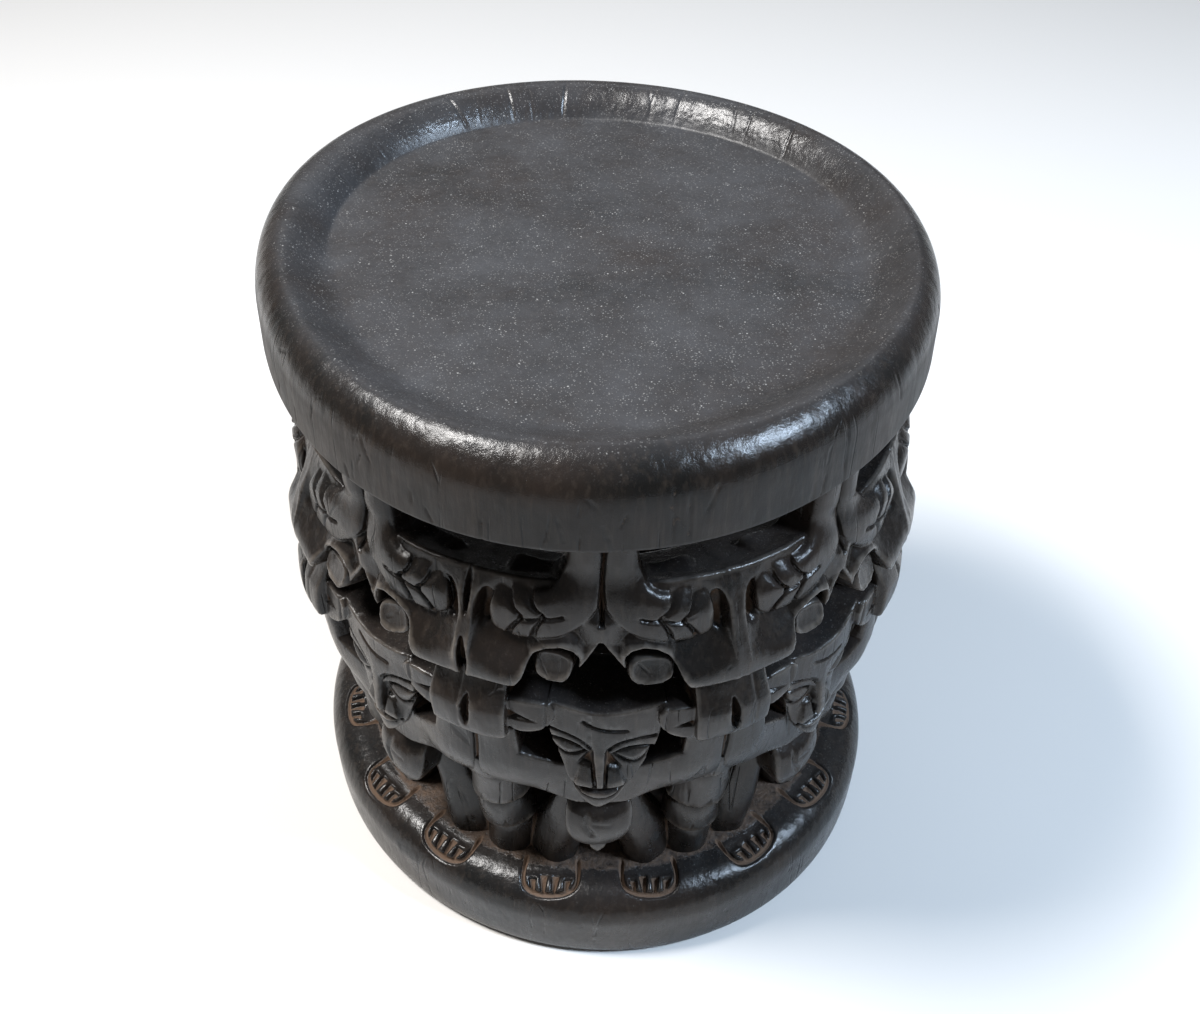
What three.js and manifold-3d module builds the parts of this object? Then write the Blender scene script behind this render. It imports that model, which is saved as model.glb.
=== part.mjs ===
// Carved wooden stool. A dished round seat and a round base are joined by an openwork wall
// of eight crouching figures, and the whole is one solid cut from a single log.
// Millimetres, +Z up, origin at the middle of the underside.
import * as THREE from 'three';
import { mergeVertices } from 'three/addons/utils/BufferGeometryUtils.js';
import Module from 'manifold-3d';

// Overall sizes
const HEIGHT = 400;
const FIGURES = 8;
const FIGURE_ANGLE = 2 * Math.PI / FIGURES;
const FIRST_FIGURE_TURN = THREE.MathUtils.degToRad(0.4);

// Facets: sides of the discs, of round limbs, and steps along a rounded edge
const DISC_STEPS = 32;
const LIMB_STEPS = 6;
const EDGE_STEPS = 3;
const WELD = 0.001;

// Seat: a thick disc with a rounded rim and a shallow dish, slightly out of round and tilted
const SEAT_RADIUS = 178.5;
const SEAT_THICKNESS = 44;
const SEAT_EDGE_ROUND = 24;
const SEAT_LOWER_CHAMFER = [3, 5];
const DISH_RADIUS = 144;
const DISH_DEPTH = 16;
const DISH_WALL_SPREAD = 4;
const SEAT_SHIFT = [-3.8, 2.7];
const SEAT_TILT = [0.0159, -0.007];
const SEAT_OUT_OF_ROUND = [
  { waves: 2, cosine: -0.0414, sine: -0.0315 },
  { waves: 3, cosine: 0.0099, sine: 0.0167 },
];

// Base: a plain disc with a rounded top edge
const BASE_RADIUS = 178.6;
const BASE_HEIGHT = 54;
const BASE_TOP_ROUND = 20;
const BASE_FOOT_ROUND = 7;
const BASE_SHIFT = [0, 3.7];
const BASE_OUT_OF_ROUND = [{ waves: 2, cosine: 0.0055, sine: -0.0216 }];

// Wall of figures: arc lengths are measured on this radius
const ARC_RADIUS = 170;
const WALL_SHIFT = [2.9, 3.2];
const HALF_PITCH = ARC_RADIUS * FIGURE_ANGLE / 2;
const UNDER_SEAT = HEIGHT - SEAT_THICKNESS;

// How far a limb runs into the piece of wood it grows from
const BITE = 6;

// Bent limbs under the seat, each ending in a three-toed paw
const LIMB_WIDTH = 19;
const LIMB_FRONT = 161;
const LIMB_BACK = 132;
const LIMB_FLARE = [{ width: 32, height: 302 }, { width: 22, height: 312 }, { width: 19, height: 338 }];
const LIMB_BOTTOM = 271;
const PAW_ROOT = 6;
const PAW_TIP = 57;
const PAW_TOP = 304;
const PAW_BOTTOM = 273;
const PAW_FRONT = 166;
const PAW_BACK = 154;
const SEAM_WIDTH = 5;
const SEAM_DEPTH = 4;
const TOE_NOTCH = { width: 5, height: 26, depth: 4, slant: 0.25, fromTip: [15, 29] };

// Belt: rounded masses between the figures, over a ring that holds them together.
// Each outline runs round the section from the inner bottom edge, as radius and height.
const BELT_BOTTOM = 246;
const BELT_FRONT = 179;
const RING_SECTION = [[126, 248], [162, 246], [164, 270], [152, 299], [126, 293]];
const MASS_SECTION = [[126, 248], [179, 246], [179, 264], [160, 307], [126, 293]];
const MASS_EDGE_TURNS = [11.5, 13].map(THREE.MathUtils.degToRad);
const CHEVRON_TOP = 269;
const CHEVRON_HALF_WIDTH = 13;

// Narrow slots on the line between two figures: in the rim, in the mass and in the collar
const SLOT_WIDTH = 4.5;
const SLOT_DEPTH = 8;
const RIM_SLOT = [283, 319];
const MASS_SLOT = [243, 271];
const COLLAR_SLOT = [206, 223];

// Knobs beside the chevron
const KNOB_OFFSET = 22;
const KNOB_RADIUS = 9.5;
const KNOB_HEIGHT = 258;
const KNOB_FRONT = 170;
const KNOB_LENGTH = 22;
const KNOB_TILT = 0.12;

// Collar under each rounded mass
const COLLAR_TOP = 224;
const COLLAR_BOTTOM = 202;
const COLLAR_FRONT = 178;
const COLLAR_SHOULDER = [166, 252];
const COLLAR_LOWER_CHAMFER = 3;
const COLLAR_HALF_WIDTH = 19.5;
const COLLAR_BACK = 128;

// Head: a flat-topped wedge face with leaf ears
const HEAD_TOP = 226;
const HEAD_HALF_WIDTH = 28;
const TEMPLE_HEIGHT = 212;
const CHEEK = { halfWidth: 18.5, height: 175 };
const CHIN_HALF_WIDTH = 1.5;
const CHIN_HEIGHT = 147;
const HEAD_BACK = 132;
const FACE_GROUND = 163;
const BROW_FRONT = 169.5;
const BROW_HEIGHT = 206;
const BROW_HALF_WIDTH = 28.5;
const NOSE_HALF_WIDTH = 4;
const NOSE_TIP_HEIGHT = 166;
const NOSE_BRIDGE_HEIGHT = 196;
const NOSE_FRONT = 173;
const EYE_OFFSET = 15.5;
const EYE_HEIGHT = 193;
const EYE_HALF_LENGTH = 9.5;
const EYE_HALF_OPENING = 4.2;
const EYE_SLANT = 0.28;
const EYE_FRONT = 166;
const MOUTH_HALF_WIDTH = 12;
const MOUTH_HEIGHT = 163;
const MOUTH_DROP = 7;
const MOUTH_DEPTH = 2.5;
const EAR_ROOT = 25;
const EAR_TIP = 50;
const EAR_TOP = 224;
const EAR_FRONT = 171;
const EAR_BACK = 146;
const EAR_BOTTOM = 204;

// Arms: upper arms under the collar, forearms running in behind the chin
const ARM_FRONT = 171;
const ARM_BACK = 130;
const ELBOW_BOTTOM = 161;
const ELBOW_INSIDE = 43;
const FOREARM_TOP = 186;
const WRIST_BOTTOM = 148;
const TRUNK_HALF_WIDTH = 16;
const TRUNK_BOTTOM = 119;

// Clasped hands under the chin
const HANDS_TOP = 131;
const HANDS_BOTTOM = 98;
const HANDS_HALF_WIDTH = 19;
const HANDS_FRONT = 165;
const HANDS_BACK = 153;
const HANDS_POINT = 6;
const HANDS_SOFTENING = { fall: 7, inset: 0.3 };

// Legs and ringed posts
const HIP = { offset: 9, radius: 8, height: 142, depth: 137 };
const ANKLE = { offset: 32, radius: 15.5, height: 57, depth: 142 };
const POST_RADIUS = 16.5;
const POST_DEPTH = 149;
const POST_GROOVES = [126, 105];
const POST_TAPER = 3.2;

// Feet cut into the top of the base
const FOOT_OFFSET = 31;
const FOOT_HALF_WIDTH = 17;
const FOOT_BACK = 158;
const FOOT_FRONT = 170.5;
const FOOT_FLOOR = 53;
const FOOT_SLOPE = 0.13;
const FOOT_CUT_HEIGHT = 12;
const TOES = 5;
const TOE_PARTING = 5;
const LITTLE_TOE_BACKSET = 6;

const wasm = await Module();
wasm.setup();

// A closed geometry as a solid, its faces turned outwards
function solid(geometry) {
  const bare = new THREE.BufferGeometry();
  bare.setAttribute('position', geometry.getAttribute('position'));
  bare.setIndex(geometry.getIndex());
  const merged = mergeVertices(bare, WELD);
  const points = Float32Array.from(merged.getAttribute('position').array);
  const faces = [];
  const index = merged.getIndex().array;
  let volume = 0;
  const a = new THREE.Vector3();
  const b = new THREE.Vector3();
  const c = new THREE.Vector3();
  for (let i = 0; i < index.length; i += 3) {
    const [p, q, r] = [index[i], index[i + 1], index[i + 2]];
    if (p === q || q === r || r === p) continue;
    faces.push([p, q, r]);
    a.fromArray(points, 3 * p);
    b.fromArray(points, 3 * q);
    c.fromArray(points, 3 * r);
    volume += a.dot(b.cross(c));
  }
  const outward = volume > 0 ? faces : faces.map(([p, q, r]) => [p, r, q]);
  return new wasm.Manifold(new wasm.Mesh({
    numProp: 3,
    vertProperties: points,
    triVerts: Uint32Array.from(outward.flat()),
  }));
}

function joined(solids) {
  return solids.reduce((whole, next) => whole.add(next));
}

function geometryOf(manifold) {
  const mesh = manifold.getMesh();
  const geometry = new THREE.BufferGeometry();
  geometry.setAttribute('position', new THREE.BufferAttribute(mesh.vertProperties, 3));
  geometry.setIndex(new THREE.BufferAttribute(mesh.triVerts, 1));
  return geometry;
}

// Every vertex moved by a rule
function reshaped(geometry, rule) {
  const position = geometry.getAttribute('position');
  const point = new THREE.Vector3();
  for (let i = 0; i < position.count; i += 1) {
    rule(point.fromBufferAttribute(position, i));
    position.setXYZ(i, point.x, point.y, point.z);
  }
  return geometry;
}

// Arc length, height and depth bent round the wall
function wrapped(geometry) {
  return reshaped(geometry, (point) => {
    const angle = point.x / ARC_RADIUS;
    point.set(point.z * Math.sin(angle), -point.z * Math.cos(angle), point.y);
  });
}

// Width, height and depth stood upright on the wall at one arc length and left flat
function stood(geometry, arcLength = 0) {
  return geometry.translate(-arcLength, 0, 0).rotateX(Math.PI / 2).rotateZ(arcLength / ARC_RADIUS);
}

// A flat shape with pits cut in its face before it is stood on the wall
function pitted(shape, pits, arcLength) {
  const cut = solid(shape).subtract(joined(pits.map(solid)));
  return solid(stood(geometryOf(cut), arcLength));
}

function mirrored(geometry) {
  return reshaped(geometry.clone(), (point) => {
    point.x = -point.x;
  });
}

// The right half of an outline with its mirror image
function bothSides(points) {
  return [...points, ...points.filter(([x]) => x > 0).reverse().map(([x, y]) => [-x, y])];
}

function polygon(points) {
  return new THREE.Shape(points.map(([x, y]) => new THREE.Vector2(x, y)));
}

// An outline drawn out straight between two depths
function block(points, back, front) {
  const settings = { depth: front - back, bevelEnabled: false };
  return new THREE.ExtrudeGeometry(polygon(points), settings).translate(0, 0, back);
}

// An outline drawn out between two depths, its front edge softened towards a centre
function pillow(points, back, front, fall, inset, centre) {
  const count = points.length;
  const rings = [[back, 1], [front - fall, 1], [front, 1 - inset]];
  const positions = rings.flatMap(([depth, scale]) => points.flatMap(([x, y]) => [
    centre[0] + (x - centre[0]) * scale,
    centre[1] + (y - centre[1]) * scale,
    depth,
  ]));
  const sides = rings.slice(1).flatMap((_, ring) => points.flatMap((__, i) => {
    const low = ring * count + i;
    const next = ring * count + (i + 1) % count;
    return [low, next, next + count, low, next + count, low + count];
  }));
  const flat = points.map(([x, y]) => new THREE.Vector2(x, y));
  const cap = THREE.ShapeUtils.triangulateShape(flat, []);
  const front3 = cap.flatMap((face) => face.map((i) => i + 2 * count));
  const back3 = cap.flatMap((face) => face.slice().reverse());
  const counterClockwise = THREE.ShapeUtils.area(flat) > 0;
  const geometry = new THREE.BufferGeometry();
  geometry.setAttribute('position', new THREE.Float32BufferAttribute(positions, 3));
  geometry.setIndex([...(counterClockwise ? sides : sides.slice().reverse()), ...front3, ...back3]);
  return geometry;
}

// Points of a round arc between two directions
function arc(centreX, centreY, radius, from, to, steps) {
  return Array.from({ length: steps + 1 }, (_, i) => {
    const angle = from + (to - from) * i / steps;
    return [centreX + radius * Math.cos(angle), centreY + radius * Math.sin(angle)];
  });
}

function radiusFactor(angle, waves) {
  return waves.reduce(
    (sum, { waves: count, cosine, sine }) =>
      sum + cosine * Math.cos(count * angle) + sine * Math.sin(count * angle),
    1,
  );
}

// A profile of radius and height turned about the axis
function turned(profile, steps) {
  const points = profile.map(([r, z]) => new THREE.Vector2(r, z));
  return new THREE.LatheGeometry(points, steps).rotateX(Math.PI / 2);
}

// A turned disc, out of round, shifted, and tilted above the ground
function disc(profile, waves, shift, tilt) {
  return reshaped(turned(profile, DISC_STEPS), (point) => {
    const factor = radiusFactor(Math.atan2(point.y, point.x), waves);
    point.x *= factor;
    point.y *= factor;
    point.z += tilt[0] * point.x + tilt[1] * point.y;
    point.x += shift[0];
    point.y += shift[1];
  });
}

function seat() {
  const floor = HEIGHT - DISH_DEPTH;
  const crown = SEAT_RADIUS - SEAT_EDGE_ROUND;
  const profile = [
    [0, UNDER_SEAT],
    [SEAT_RADIUS - SEAT_LOWER_CHAMFER[0], UNDER_SEAT],
    [SEAT_RADIUS, UNDER_SEAT + SEAT_LOWER_CHAMFER[1]],
    ...arc(crown, HEIGHT - SEAT_EDGE_ROUND, SEAT_EDGE_ROUND, 0, Math.PI / 2, EDGE_STEPS),
    [DISH_RADIUS + DISH_WALL_SPREAD, HEIGHT - DISH_DEPTH / 2],
    [DISH_RADIUS - DISH_WALL_SPREAD, floor],
    [0, floor],
  ];
  return solid(disc(profile, SEAT_OUT_OF_ROUND, SEAT_SHIFT, SEAT_TILT));
}

function base() {
  const shoulder = BASE_RADIUS - BASE_TOP_ROUND;
  const profile = [
    [0, 0],
    [BASE_RADIUS - BASE_FOOT_ROUND, 0],
    [BASE_RADIUS, BASE_FOOT_ROUND],
    ...arc(shoulder, BASE_HEIGHT - BASE_TOP_ROUND, BASE_TOP_ROUND, 0, Math.PI / 2, EDGE_STEPS),
    [0, BASE_HEIGHT],
  ];
  return solid(disc(profile, BASE_OUT_OF_ROUND, BASE_SHIFT, [0, 0]));
}

// The belt: a turned ring that swells into a rounded mass between each two figures
function belt() {
  const [start, stop] = MASS_EDGE_TURNS;
  const stations = [
    { turn: -stop, section: MASS_SECTION },
    { turn: -start, section: RING_SECTION },
    { turn: start, section: RING_SECTION },
    { turn: stop, section: MASS_SECTION },
  ];
  const rings = Array.from({ length: FIGURES }, (_, figure) => stations.map(({ turn, section }) => {
    const angle = figure * FIGURE_ANGLE + turn;
    return section.flatMap(([r, z]) => [r * Math.sin(angle), -r * Math.cos(angle), z]);
  })).flat();
  const across = RING_SECTION.length;
  const faces = rings.flatMap((_, i) => Array.from({ length: across }, (__, j) => {
    const next = (i + 1) % rings.length;
    const [a, b] = [i * across + j, i * across + (j + 1) % across];
    const [c, d] = [next * across + (j + 1) % across, next * across + j];
    return [a, b, c, a, c, d];
  })).flat();
  const geometry = new THREE.BufferGeometry();
  geometry.setAttribute('position', new THREE.Float32BufferAttribute(rings.flat(), 3));
  geometry.setIndex(faces);
  return geometry.rotateZ(FIRST_FIGURE_TURN).translate(WALL_SHIFT[0], WALL_SHIFT[1], 0);
}

// A canoe-shaped body, pointed at both ends, for narrow pits and for the eyes
function canoe(width, height, depth) {
  return new THREE.OctahedronGeometry(1).scale(width / 2, height / 2, depth);
}

// The two limbs drop from the seat side by side and flare towards their paws
function pillars() {
  const outline = bothSides([
    [0, LIMB_BOTTOM],
    ...LIMB_FLARE.map(({ width, height }) => [width, height]),
    [LIMB_WIDTH, UNDER_SEAT + BITE],
  ]);
  const seamLength = 2 * (UNDER_SEAT - PAW_BOTTOM);
  const seam = canoe(SEAM_WIDTH, seamLength, SEAM_DEPTH).translate(0, UNDER_SEAT, LIMB_FRONT);
  return pitted(block(outline, LIMB_BACK, LIMB_FRONT), [seam], 0);
}

// The paw: a blunt fist pointing away from the seam, with two notches that part three toes
function paw(side) {
  const middle = (PAW_TOP + PAW_BOTTOM) / 2;
  const length = PAW_TIP - PAW_ROOT;
  const outline = [
    [PAW_ROOT, middle + 4],
    [PAW_ROOT + length / 5, PAW_BOTTOM + 2],
    [PAW_TIP - length / 6, PAW_BOTTOM],
    [PAW_TIP, middle - 5],
    [PAW_TIP - 1, middle + 8],
    [PAW_TIP - length / 5, PAW_TOP],
    [PAW_ROOT + length / 5, PAW_TOP],
  ];
  const notches = TOE_NOTCH.fromTip.map((fromTip) => (
    canoe(TOE_NOTCH.width, TOE_NOTCH.height, TOE_NOTCH.depth)
      .rotateZ(-TOE_NOTCH.slant)
      .translate(PAW_TIP - fromTip, middle, PAW_FRONT)
  ));
  const onSide = (geometry) => (side > 0 ? geometry : mirrored(geometry));
  return pitted(onSide(block(outline, PAW_BACK, PAW_FRONT)), notches.map(onSide), side * PAW_TIP * 0.6);
}

// The opening above each head
function chevron() {
  const outline = bothSides([[0, CHEVRON_TOP], [CHEVRON_HALF_WIDTH, BELT_BOTTOM - 1]]);
  return solid(stood(block(outline, RING_SECTION[0][0] - BITE, BELT_FRONT + BITE)));
}

// A profile of depth and height swept round the wall between two arc lengths
function swept(profile, from, to, steps) {
  const settings = { depth: to - from, steps, bevelEnabled: false };
  const geometry = new THREE.ExtrudeGeometry(polygon(profile), settings);
  return reshaped(geometry, (point) => {
    point.set(from + point.z, point.y, point.x);
  });
}

// A narrow slot on the line between two figures
function slot([bottom, top], front) {
  const pit = canoe(SLOT_WIDTH, top - bottom, SLOT_DEPTH);
  return solid(stood(pit.translate(HALF_PITCH, (bottom + top) / 2, front), HALF_PITCH));
}

function knob(side) {
  const stub = new THREE.CylinderGeometry(KNOB_RADIUS, KNOB_RADIUS, KNOB_LENGTH, LIMB_STEPS);
  stub.rotateX(Math.PI / 2 - KNOB_TILT);
  stub.translate(side * KNOB_OFFSET, KNOB_HEIGHT, KNOB_FRONT - KNOB_LENGTH / 2);
  return solid(stood(stub, side * KNOB_OFFSET));
}

function collar() {
  const profile = [
    [COLLAR_BACK, COLLAR_SHOULDER[1]],
    COLLAR_SHOULDER,
    [COLLAR_FRONT, COLLAR_TOP],
    [COLLAR_FRONT, COLLAR_BOTTOM + COLLAR_LOWER_CHAMFER],
    [COLLAR_FRONT - COLLAR_LOWER_CHAMFER, COLLAR_BOTTOM],
    [COLLAR_BACK, COLLAR_BOTTOM],
  ];
  const from = HALF_PITCH - COLLAR_HALF_WIDTH;
  const to = HALF_PITCH + COLLAR_HALF_WIDTH;
  return solid(wrapped(swept(profile, from, to, 1)));
}

// The wedge of the face with bowed sides
function faceGround() {
  const outline = bothSides([
    [CHIN_HALF_WIDTH, CHIN_HEIGHT],
    [CHEEK.halfWidth, CHEEK.height],
    [HEAD_HALF_WIDTH, TEMPLE_HEIGHT],
  ]);
  return block(outline, HEAD_BACK, FACE_GROUND);
}

// Forehead and brow arches
function brow() {
  const outline = bothSides([
    [NOSE_HALF_WIDTH + 1, NOSE_BRIDGE_HEIGHT - 1],
    [EYE_OFFSET, BROW_HEIGHT],
    [BROW_HALF_WIDTH, BROW_HEIGHT],
    [BROW_HALF_WIDTH, HEAD_TOP],
  ]);
  return block(outline, HEAD_BACK - 1, BROW_FRONT);
}

// A long straight nose that stands out towards its tip
function nose() {
  const outline = bothSides([
    [NOSE_HALF_WIDTH, NOSE_TIP_HEIGHT],
    [NOSE_HALF_WIDTH, NOSE_BRIDGE_HEIGHT + 1],
  ]);
  return reshaped(block(outline, FACE_GROUND - BITE, BROW_FRONT - 0.5), (point) => {
    if (point.y < NOSE_BRIDGE_HEIGHT && point.z > FACE_GROUND) point.z = NOSE_FRONT;
  });
}

function eye(side) {
  const lens = canoe(2 * EYE_HALF_LENGTH, 2 * EYE_HALF_OPENING, EYE_FRONT - FACE_GROUND);
  return lens.rotateZ(side * EYE_SLANT).translate(side * EYE_OFFSET, EYE_HEIGHT, FACE_GROUND);
}

function mouth() {
  const outline = [
    [-MOUTH_HALF_WIDTH, MOUTH_HEIGHT],
    [0, MOUTH_HEIGHT - MOUTH_DROP],
    [MOUTH_HALF_WIDTH, MOUTH_HEIGHT],
    [0, MOUTH_HEIGHT - MOUTH_DROP / 2],
  ];
  return block(outline, FACE_GROUND - MOUTH_DEPTH, NOSE_FRONT);
}

function ear(side) {
  const leaf = block([
    [EAR_ROOT, EAR_TOP],
    [EAR_TIP, EAR_TOP - 1],
    [EAR_TIP, EAR_BOTTOM + 8],
    [EAR_TIP - 10, EAR_BOTTOM],
    [EAR_ROOT, TEMPLE_HEIGHT - 1],
  ], EAR_BACK, EAR_FRONT);
  return solid(stood(side > 0 ? leaf : mirrored(leaf), side * EAR_TIP * 0.8));
}

function head() {
  const relief = [faceGround(), brow(), nose(), eye(1), eye(-1)];
  const face = joined(relief.map((geometry) => solid(stood(geometry))));
  return joined([face.subtract(solid(stood(mouth()))), ear(1), ear(-1)]);
}

// The arms: two elbows and two forearms in one slab that also backs the hands.
// Its ends stop just short of the neighbours' elbows, which leaves the seam between them.
function arms() {
  const end = HALF_PITCH;
  const armTop = COLLAR_BOTTOM + COLLAR_LOWER_CHAMFER;
  const outline = bothSides([
    [TRUNK_HALF_WIDTH, TRUNK_BOTTOM],
    [TRUNK_HALF_WIDTH, WRIST_BOTTOM],
    [ELBOW_INSIDE - 5, ELBOW_BOTTOM - 1],
    [end, ELBOW_BOTTOM],
    [end, armTop],
    [ELBOW_INSIDE, armTop],
    [ELBOW_INSIDE, FOREARM_TOP],
    [HEAD_HALF_WIDTH - 8, FOREARM_TOP - 12],
  ]);
  const front = ARM_FRONT * Math.cos(FIGURE_ANGLE / 2);
  const slab = reshaped(block(outline, ARM_BACK, front), (point) => {
    const reach = point.z * Math.tan(FIGURE_ANGLE / 2) - SEAM_WIDTH / 4;
    if (Math.abs(point.x) > end - 1) point.x = Math.sign(point.x) * reach;
  });
  return solid(stood(slab));
}

// Clasped hands: a rounded block, its top cut flat, with a small point below
function hands() {
  const half = HANDS_HALF_WIDTH;
  const { fall, inset } = HANDS_SOFTENING;
  const middle = (HANDS_TOP + HANDS_BOTTOM) / 2;
  const outline = bothSides([
    [0, HANDS_BOTTOM - HANDS_POINT],
    [half - 5, HANDS_BOTTOM + 6],
    [half, middle + 2],
    [half - 6, HANDS_TOP],
  ]);
  return solid(stood(pillow(outline, HANDS_BACK, HANDS_FRONT, fall, inset, [0, middle + 6])));
}

// One leg, spreading from the trunk to its foot
function leg(side) {
  const rise = HIP.height - ANKLE.height;
  const shift = HIP.offset - ANKLE.offset;
  const length = Math.hypot(rise, shift);
  const calf = new THREE.CylinderGeometry(HIP.radius, ANKLE.radius, length, LIMB_STEPS);
  calf.rotateZ(Math.atan2(-shift, rise));
  calf.translate((HIP.offset + ANKLE.offset) / 2, (HIP.height + ANKLE.height) / 2, 0);
  reshaped(calf, (point) => {
    const low = point.y < (HIP.height + ANKLE.height) / 2;
    point.z += low ? ANKLE.depth : HIP.depth;
    if (low) point.y = BASE_HEIGHT - BITE;
  });
  return solid(stood(side > 0 ? calf : mirrored(calf), side * (HIP.offset + ANKLE.offset) / 2));
}

// A round post in overlapping tiers, each wider at its foot
function post() {
  const tops = [ELBOW_BOTTOM + BITE, ...POST_GROOVES];
  const feet = [...POST_GROOVES, BASE_HEIGHT - BITE];
  const steps = tops.flatMap((top, tier) => [
    [POST_RADIUS - POST_TAPER, top],
    [POST_RADIUS, feet[tier]],
  ]);
  const profile = [[0, tops[0]], ...steps, [0, BASE_HEIGHT - BITE]];
  return solid(turned(profile, LIMB_STEPS).translate(0, -POST_DEPTH, 0).rotateZ(FIGURE_ANGLE / 2));
}

// The cutter of one foot: a sunken sole with a toothed front, one tooth for each toe.
// It is drawn in plan and sloped to follow the rounded edge of the base.
function footCutter(side) {
  const half = FOOT_HALF_WIDTH;
  const toe = 2 * half / TOES;
  const front = (x) => FOOT_FRONT - LITTLE_TOE_BACKSET * (x / half) ** 2;
  const tips = Array.from({ length: TOES }, (_, i) => half - toe * (i + 0.5));
  const parting = tips.slice(1).map((x) => x + toe / 2);
  const toeEdge = tips.flatMap((x, i) => (
    i < parting.length ? [[x, front(x)], [parting[i], front(parting[i]) - TOE_PARTING]] : [[x, front(x)]]
  ));
  const outline = [[half, FOOT_BACK], ...toeEdge, [-half, FOOT_BACK]];
  return solid(wrapped(reshaped(block(outline, 0, FOOT_CUT_HEIGHT), (point) => {
    const floor = FOOT_FLOOR - FOOT_SLOPE * (point.y - FOOT_BACK);
    point.set(point.x + side * FOOT_OFFSET, floor + point.z, point.y);
  })));
}

// One figure, with the collar and the post between it and the next one
function figure() {
  return joined([
    pillars(),
    paw(1),
    paw(-1),
    knob(1),
    knob(-1),
    collar(),
    head(),
    arms(),
    hands(),
    leg(1),
    leg(-1),
    post(),
  ]);
}

function slots() {
  return joined([
    slot(RIM_SLOT, LIMB_FRONT),
    slot(MASS_SLOT, BELT_FRONT - 2),
    slot(COLLAR_SLOT, COLLAR_FRONT),
  ]);
}

// Copies of a solid at every figure, on the wall's own axis
function aroundTheWall(manifold) {
  const geometry = geometryOf(manifold);
  return joined(Array.from({ length: FIGURES }, (_, i) => {
    const copy = geometry.clone().rotateZ(i * FIGURE_ANGLE + FIRST_FIGURE_TURN);
    return solid(copy.translate(WALL_SHIFT[0], WALL_SHIFT[1], 0));
  }));
}

function stool() {
  const feet = aroundTheWall(joined([footCutter(1), footCutter(-1)]));
  const openBelt = solid(belt()).subtract(aroundTheWall(chevron()));
  const whole = joined([base().subtract(feet), openBelt, aroundTheWall(figure()), seat()]);
  const carvedWhole = whole.subtract(aroundTheWall(slots()));
  const geometry = geometryOf(carvedWhole).toNonIndexed();
  geometry.computeVertexNormals();
  const material = new THREE.MeshStandardMaterial({ color: 0x1c1815, roughness: 0.42, metalness: 0 });
  const mesh = new THREE.Mesh(geometry, material);
  mesh.name = 'stool';
  return mesh;
}

const model = new THREE.Group();
model.add(stool());

export default model;
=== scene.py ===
# Carved wooden stool: a dished seat and a disc base joined by an openwork wall of
# eight crouching figures with mask faces. Sizes here are in millimetres; objects are in metres.
import bpy
import math
import numpy as np
from mathutils import Matrix, Vector


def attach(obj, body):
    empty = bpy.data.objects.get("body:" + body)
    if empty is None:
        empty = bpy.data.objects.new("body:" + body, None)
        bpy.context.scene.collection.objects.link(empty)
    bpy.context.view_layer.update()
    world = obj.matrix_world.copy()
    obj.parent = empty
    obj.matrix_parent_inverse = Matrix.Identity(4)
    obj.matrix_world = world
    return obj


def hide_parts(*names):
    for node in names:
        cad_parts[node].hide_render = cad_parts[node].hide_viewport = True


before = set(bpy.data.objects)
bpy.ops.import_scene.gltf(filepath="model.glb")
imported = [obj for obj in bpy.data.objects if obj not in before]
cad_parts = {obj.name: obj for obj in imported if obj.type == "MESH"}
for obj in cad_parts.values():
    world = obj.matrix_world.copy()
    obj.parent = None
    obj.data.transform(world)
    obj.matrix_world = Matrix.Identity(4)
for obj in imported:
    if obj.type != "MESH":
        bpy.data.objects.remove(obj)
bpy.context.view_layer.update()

# Overall layout, as in the solid
MM = 0.001
HEIGHT = 400.0
FIGURES = 8
FIRST_FIGURE_TURN = math.radians(0.4)
WALL_CENTRE = (2.9, 3.2)
ARC_RADIUS = 170.0
UNIT = 2 * math.pi * ARC_RADIUS / FIGURES
HALF = UNIT / 2
UNDER_SEAT = 356.0
BASE_TOP = 54.0

# Seat: a thick disc with a rounded rim and a shallow dish, slightly out of round and tilted
SEAT_RADIUS = 178.5
SEAT_CENTRE = (-3.8, 2.7)
SEAT_TILT = (0.0159, -0.007)
SEAT_WAVES = [(2, -0.0414, -0.0315), (3, 0.0099, 0.0167)]
RIM_ROUND = 24.0
DISH_FLOOR = 384.0

# Base: a plain disc with a rounded top edge and feet cut into it
BASE_RADIUS = 178.6
BASE_CENTRE = (0.0, 3.7)
BASE_WAVES = [(2, 0.0055, -0.0216)]
BASE_ROUND = 20.0

# The grids that the tiers of the wall are carved in, the discs' columns and the size of the meshes
CELL = 0.8
DEPTH_CELL = 1.25
WALL_INSIDE, WALL_OUTSIDE = 120.0, 186.0
FAR = 40.0
TRIANGLES = 185000
DISC_COLUMNS = 1320
SEED = 7


def smooth_min(a, b, width):
    """The lesser of two fields, rounded where they meet."""
    share = np.clip(0.5 + 0.5 * (b - a) / width, 0, 1)
    return b + (a - b) * share - width * share * (1 - share)


def smooth_max(a, b, width):
    return -smooth_min(-a, -b, width)


def ease(low, high, value):
    """Nought at low and one at high, with a smooth rise between."""
    t = np.clip((value - low) / (high - low), 0, 1)
    return t * t * (3 - 2 * t)


def positive(value):
    """The value, or nought where it is negative."""
    return value.clip(0, None)


def slip(hand, reach):
    """A small random slip of the carver's hand, to either side."""
    return hand.uniform(-reach, reach)


def read_off(line, first):
    """The second value of a line at each of its first values."""
    firsts, seconds = zip(*line)
    return np.interp(first, firsts, seconds)


def mirror(points):
    """The right half of an outline with its mirror image."""
    left = [(-x, z) for x, z in reversed(points) if x > 0]
    return list(points) + left


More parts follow.
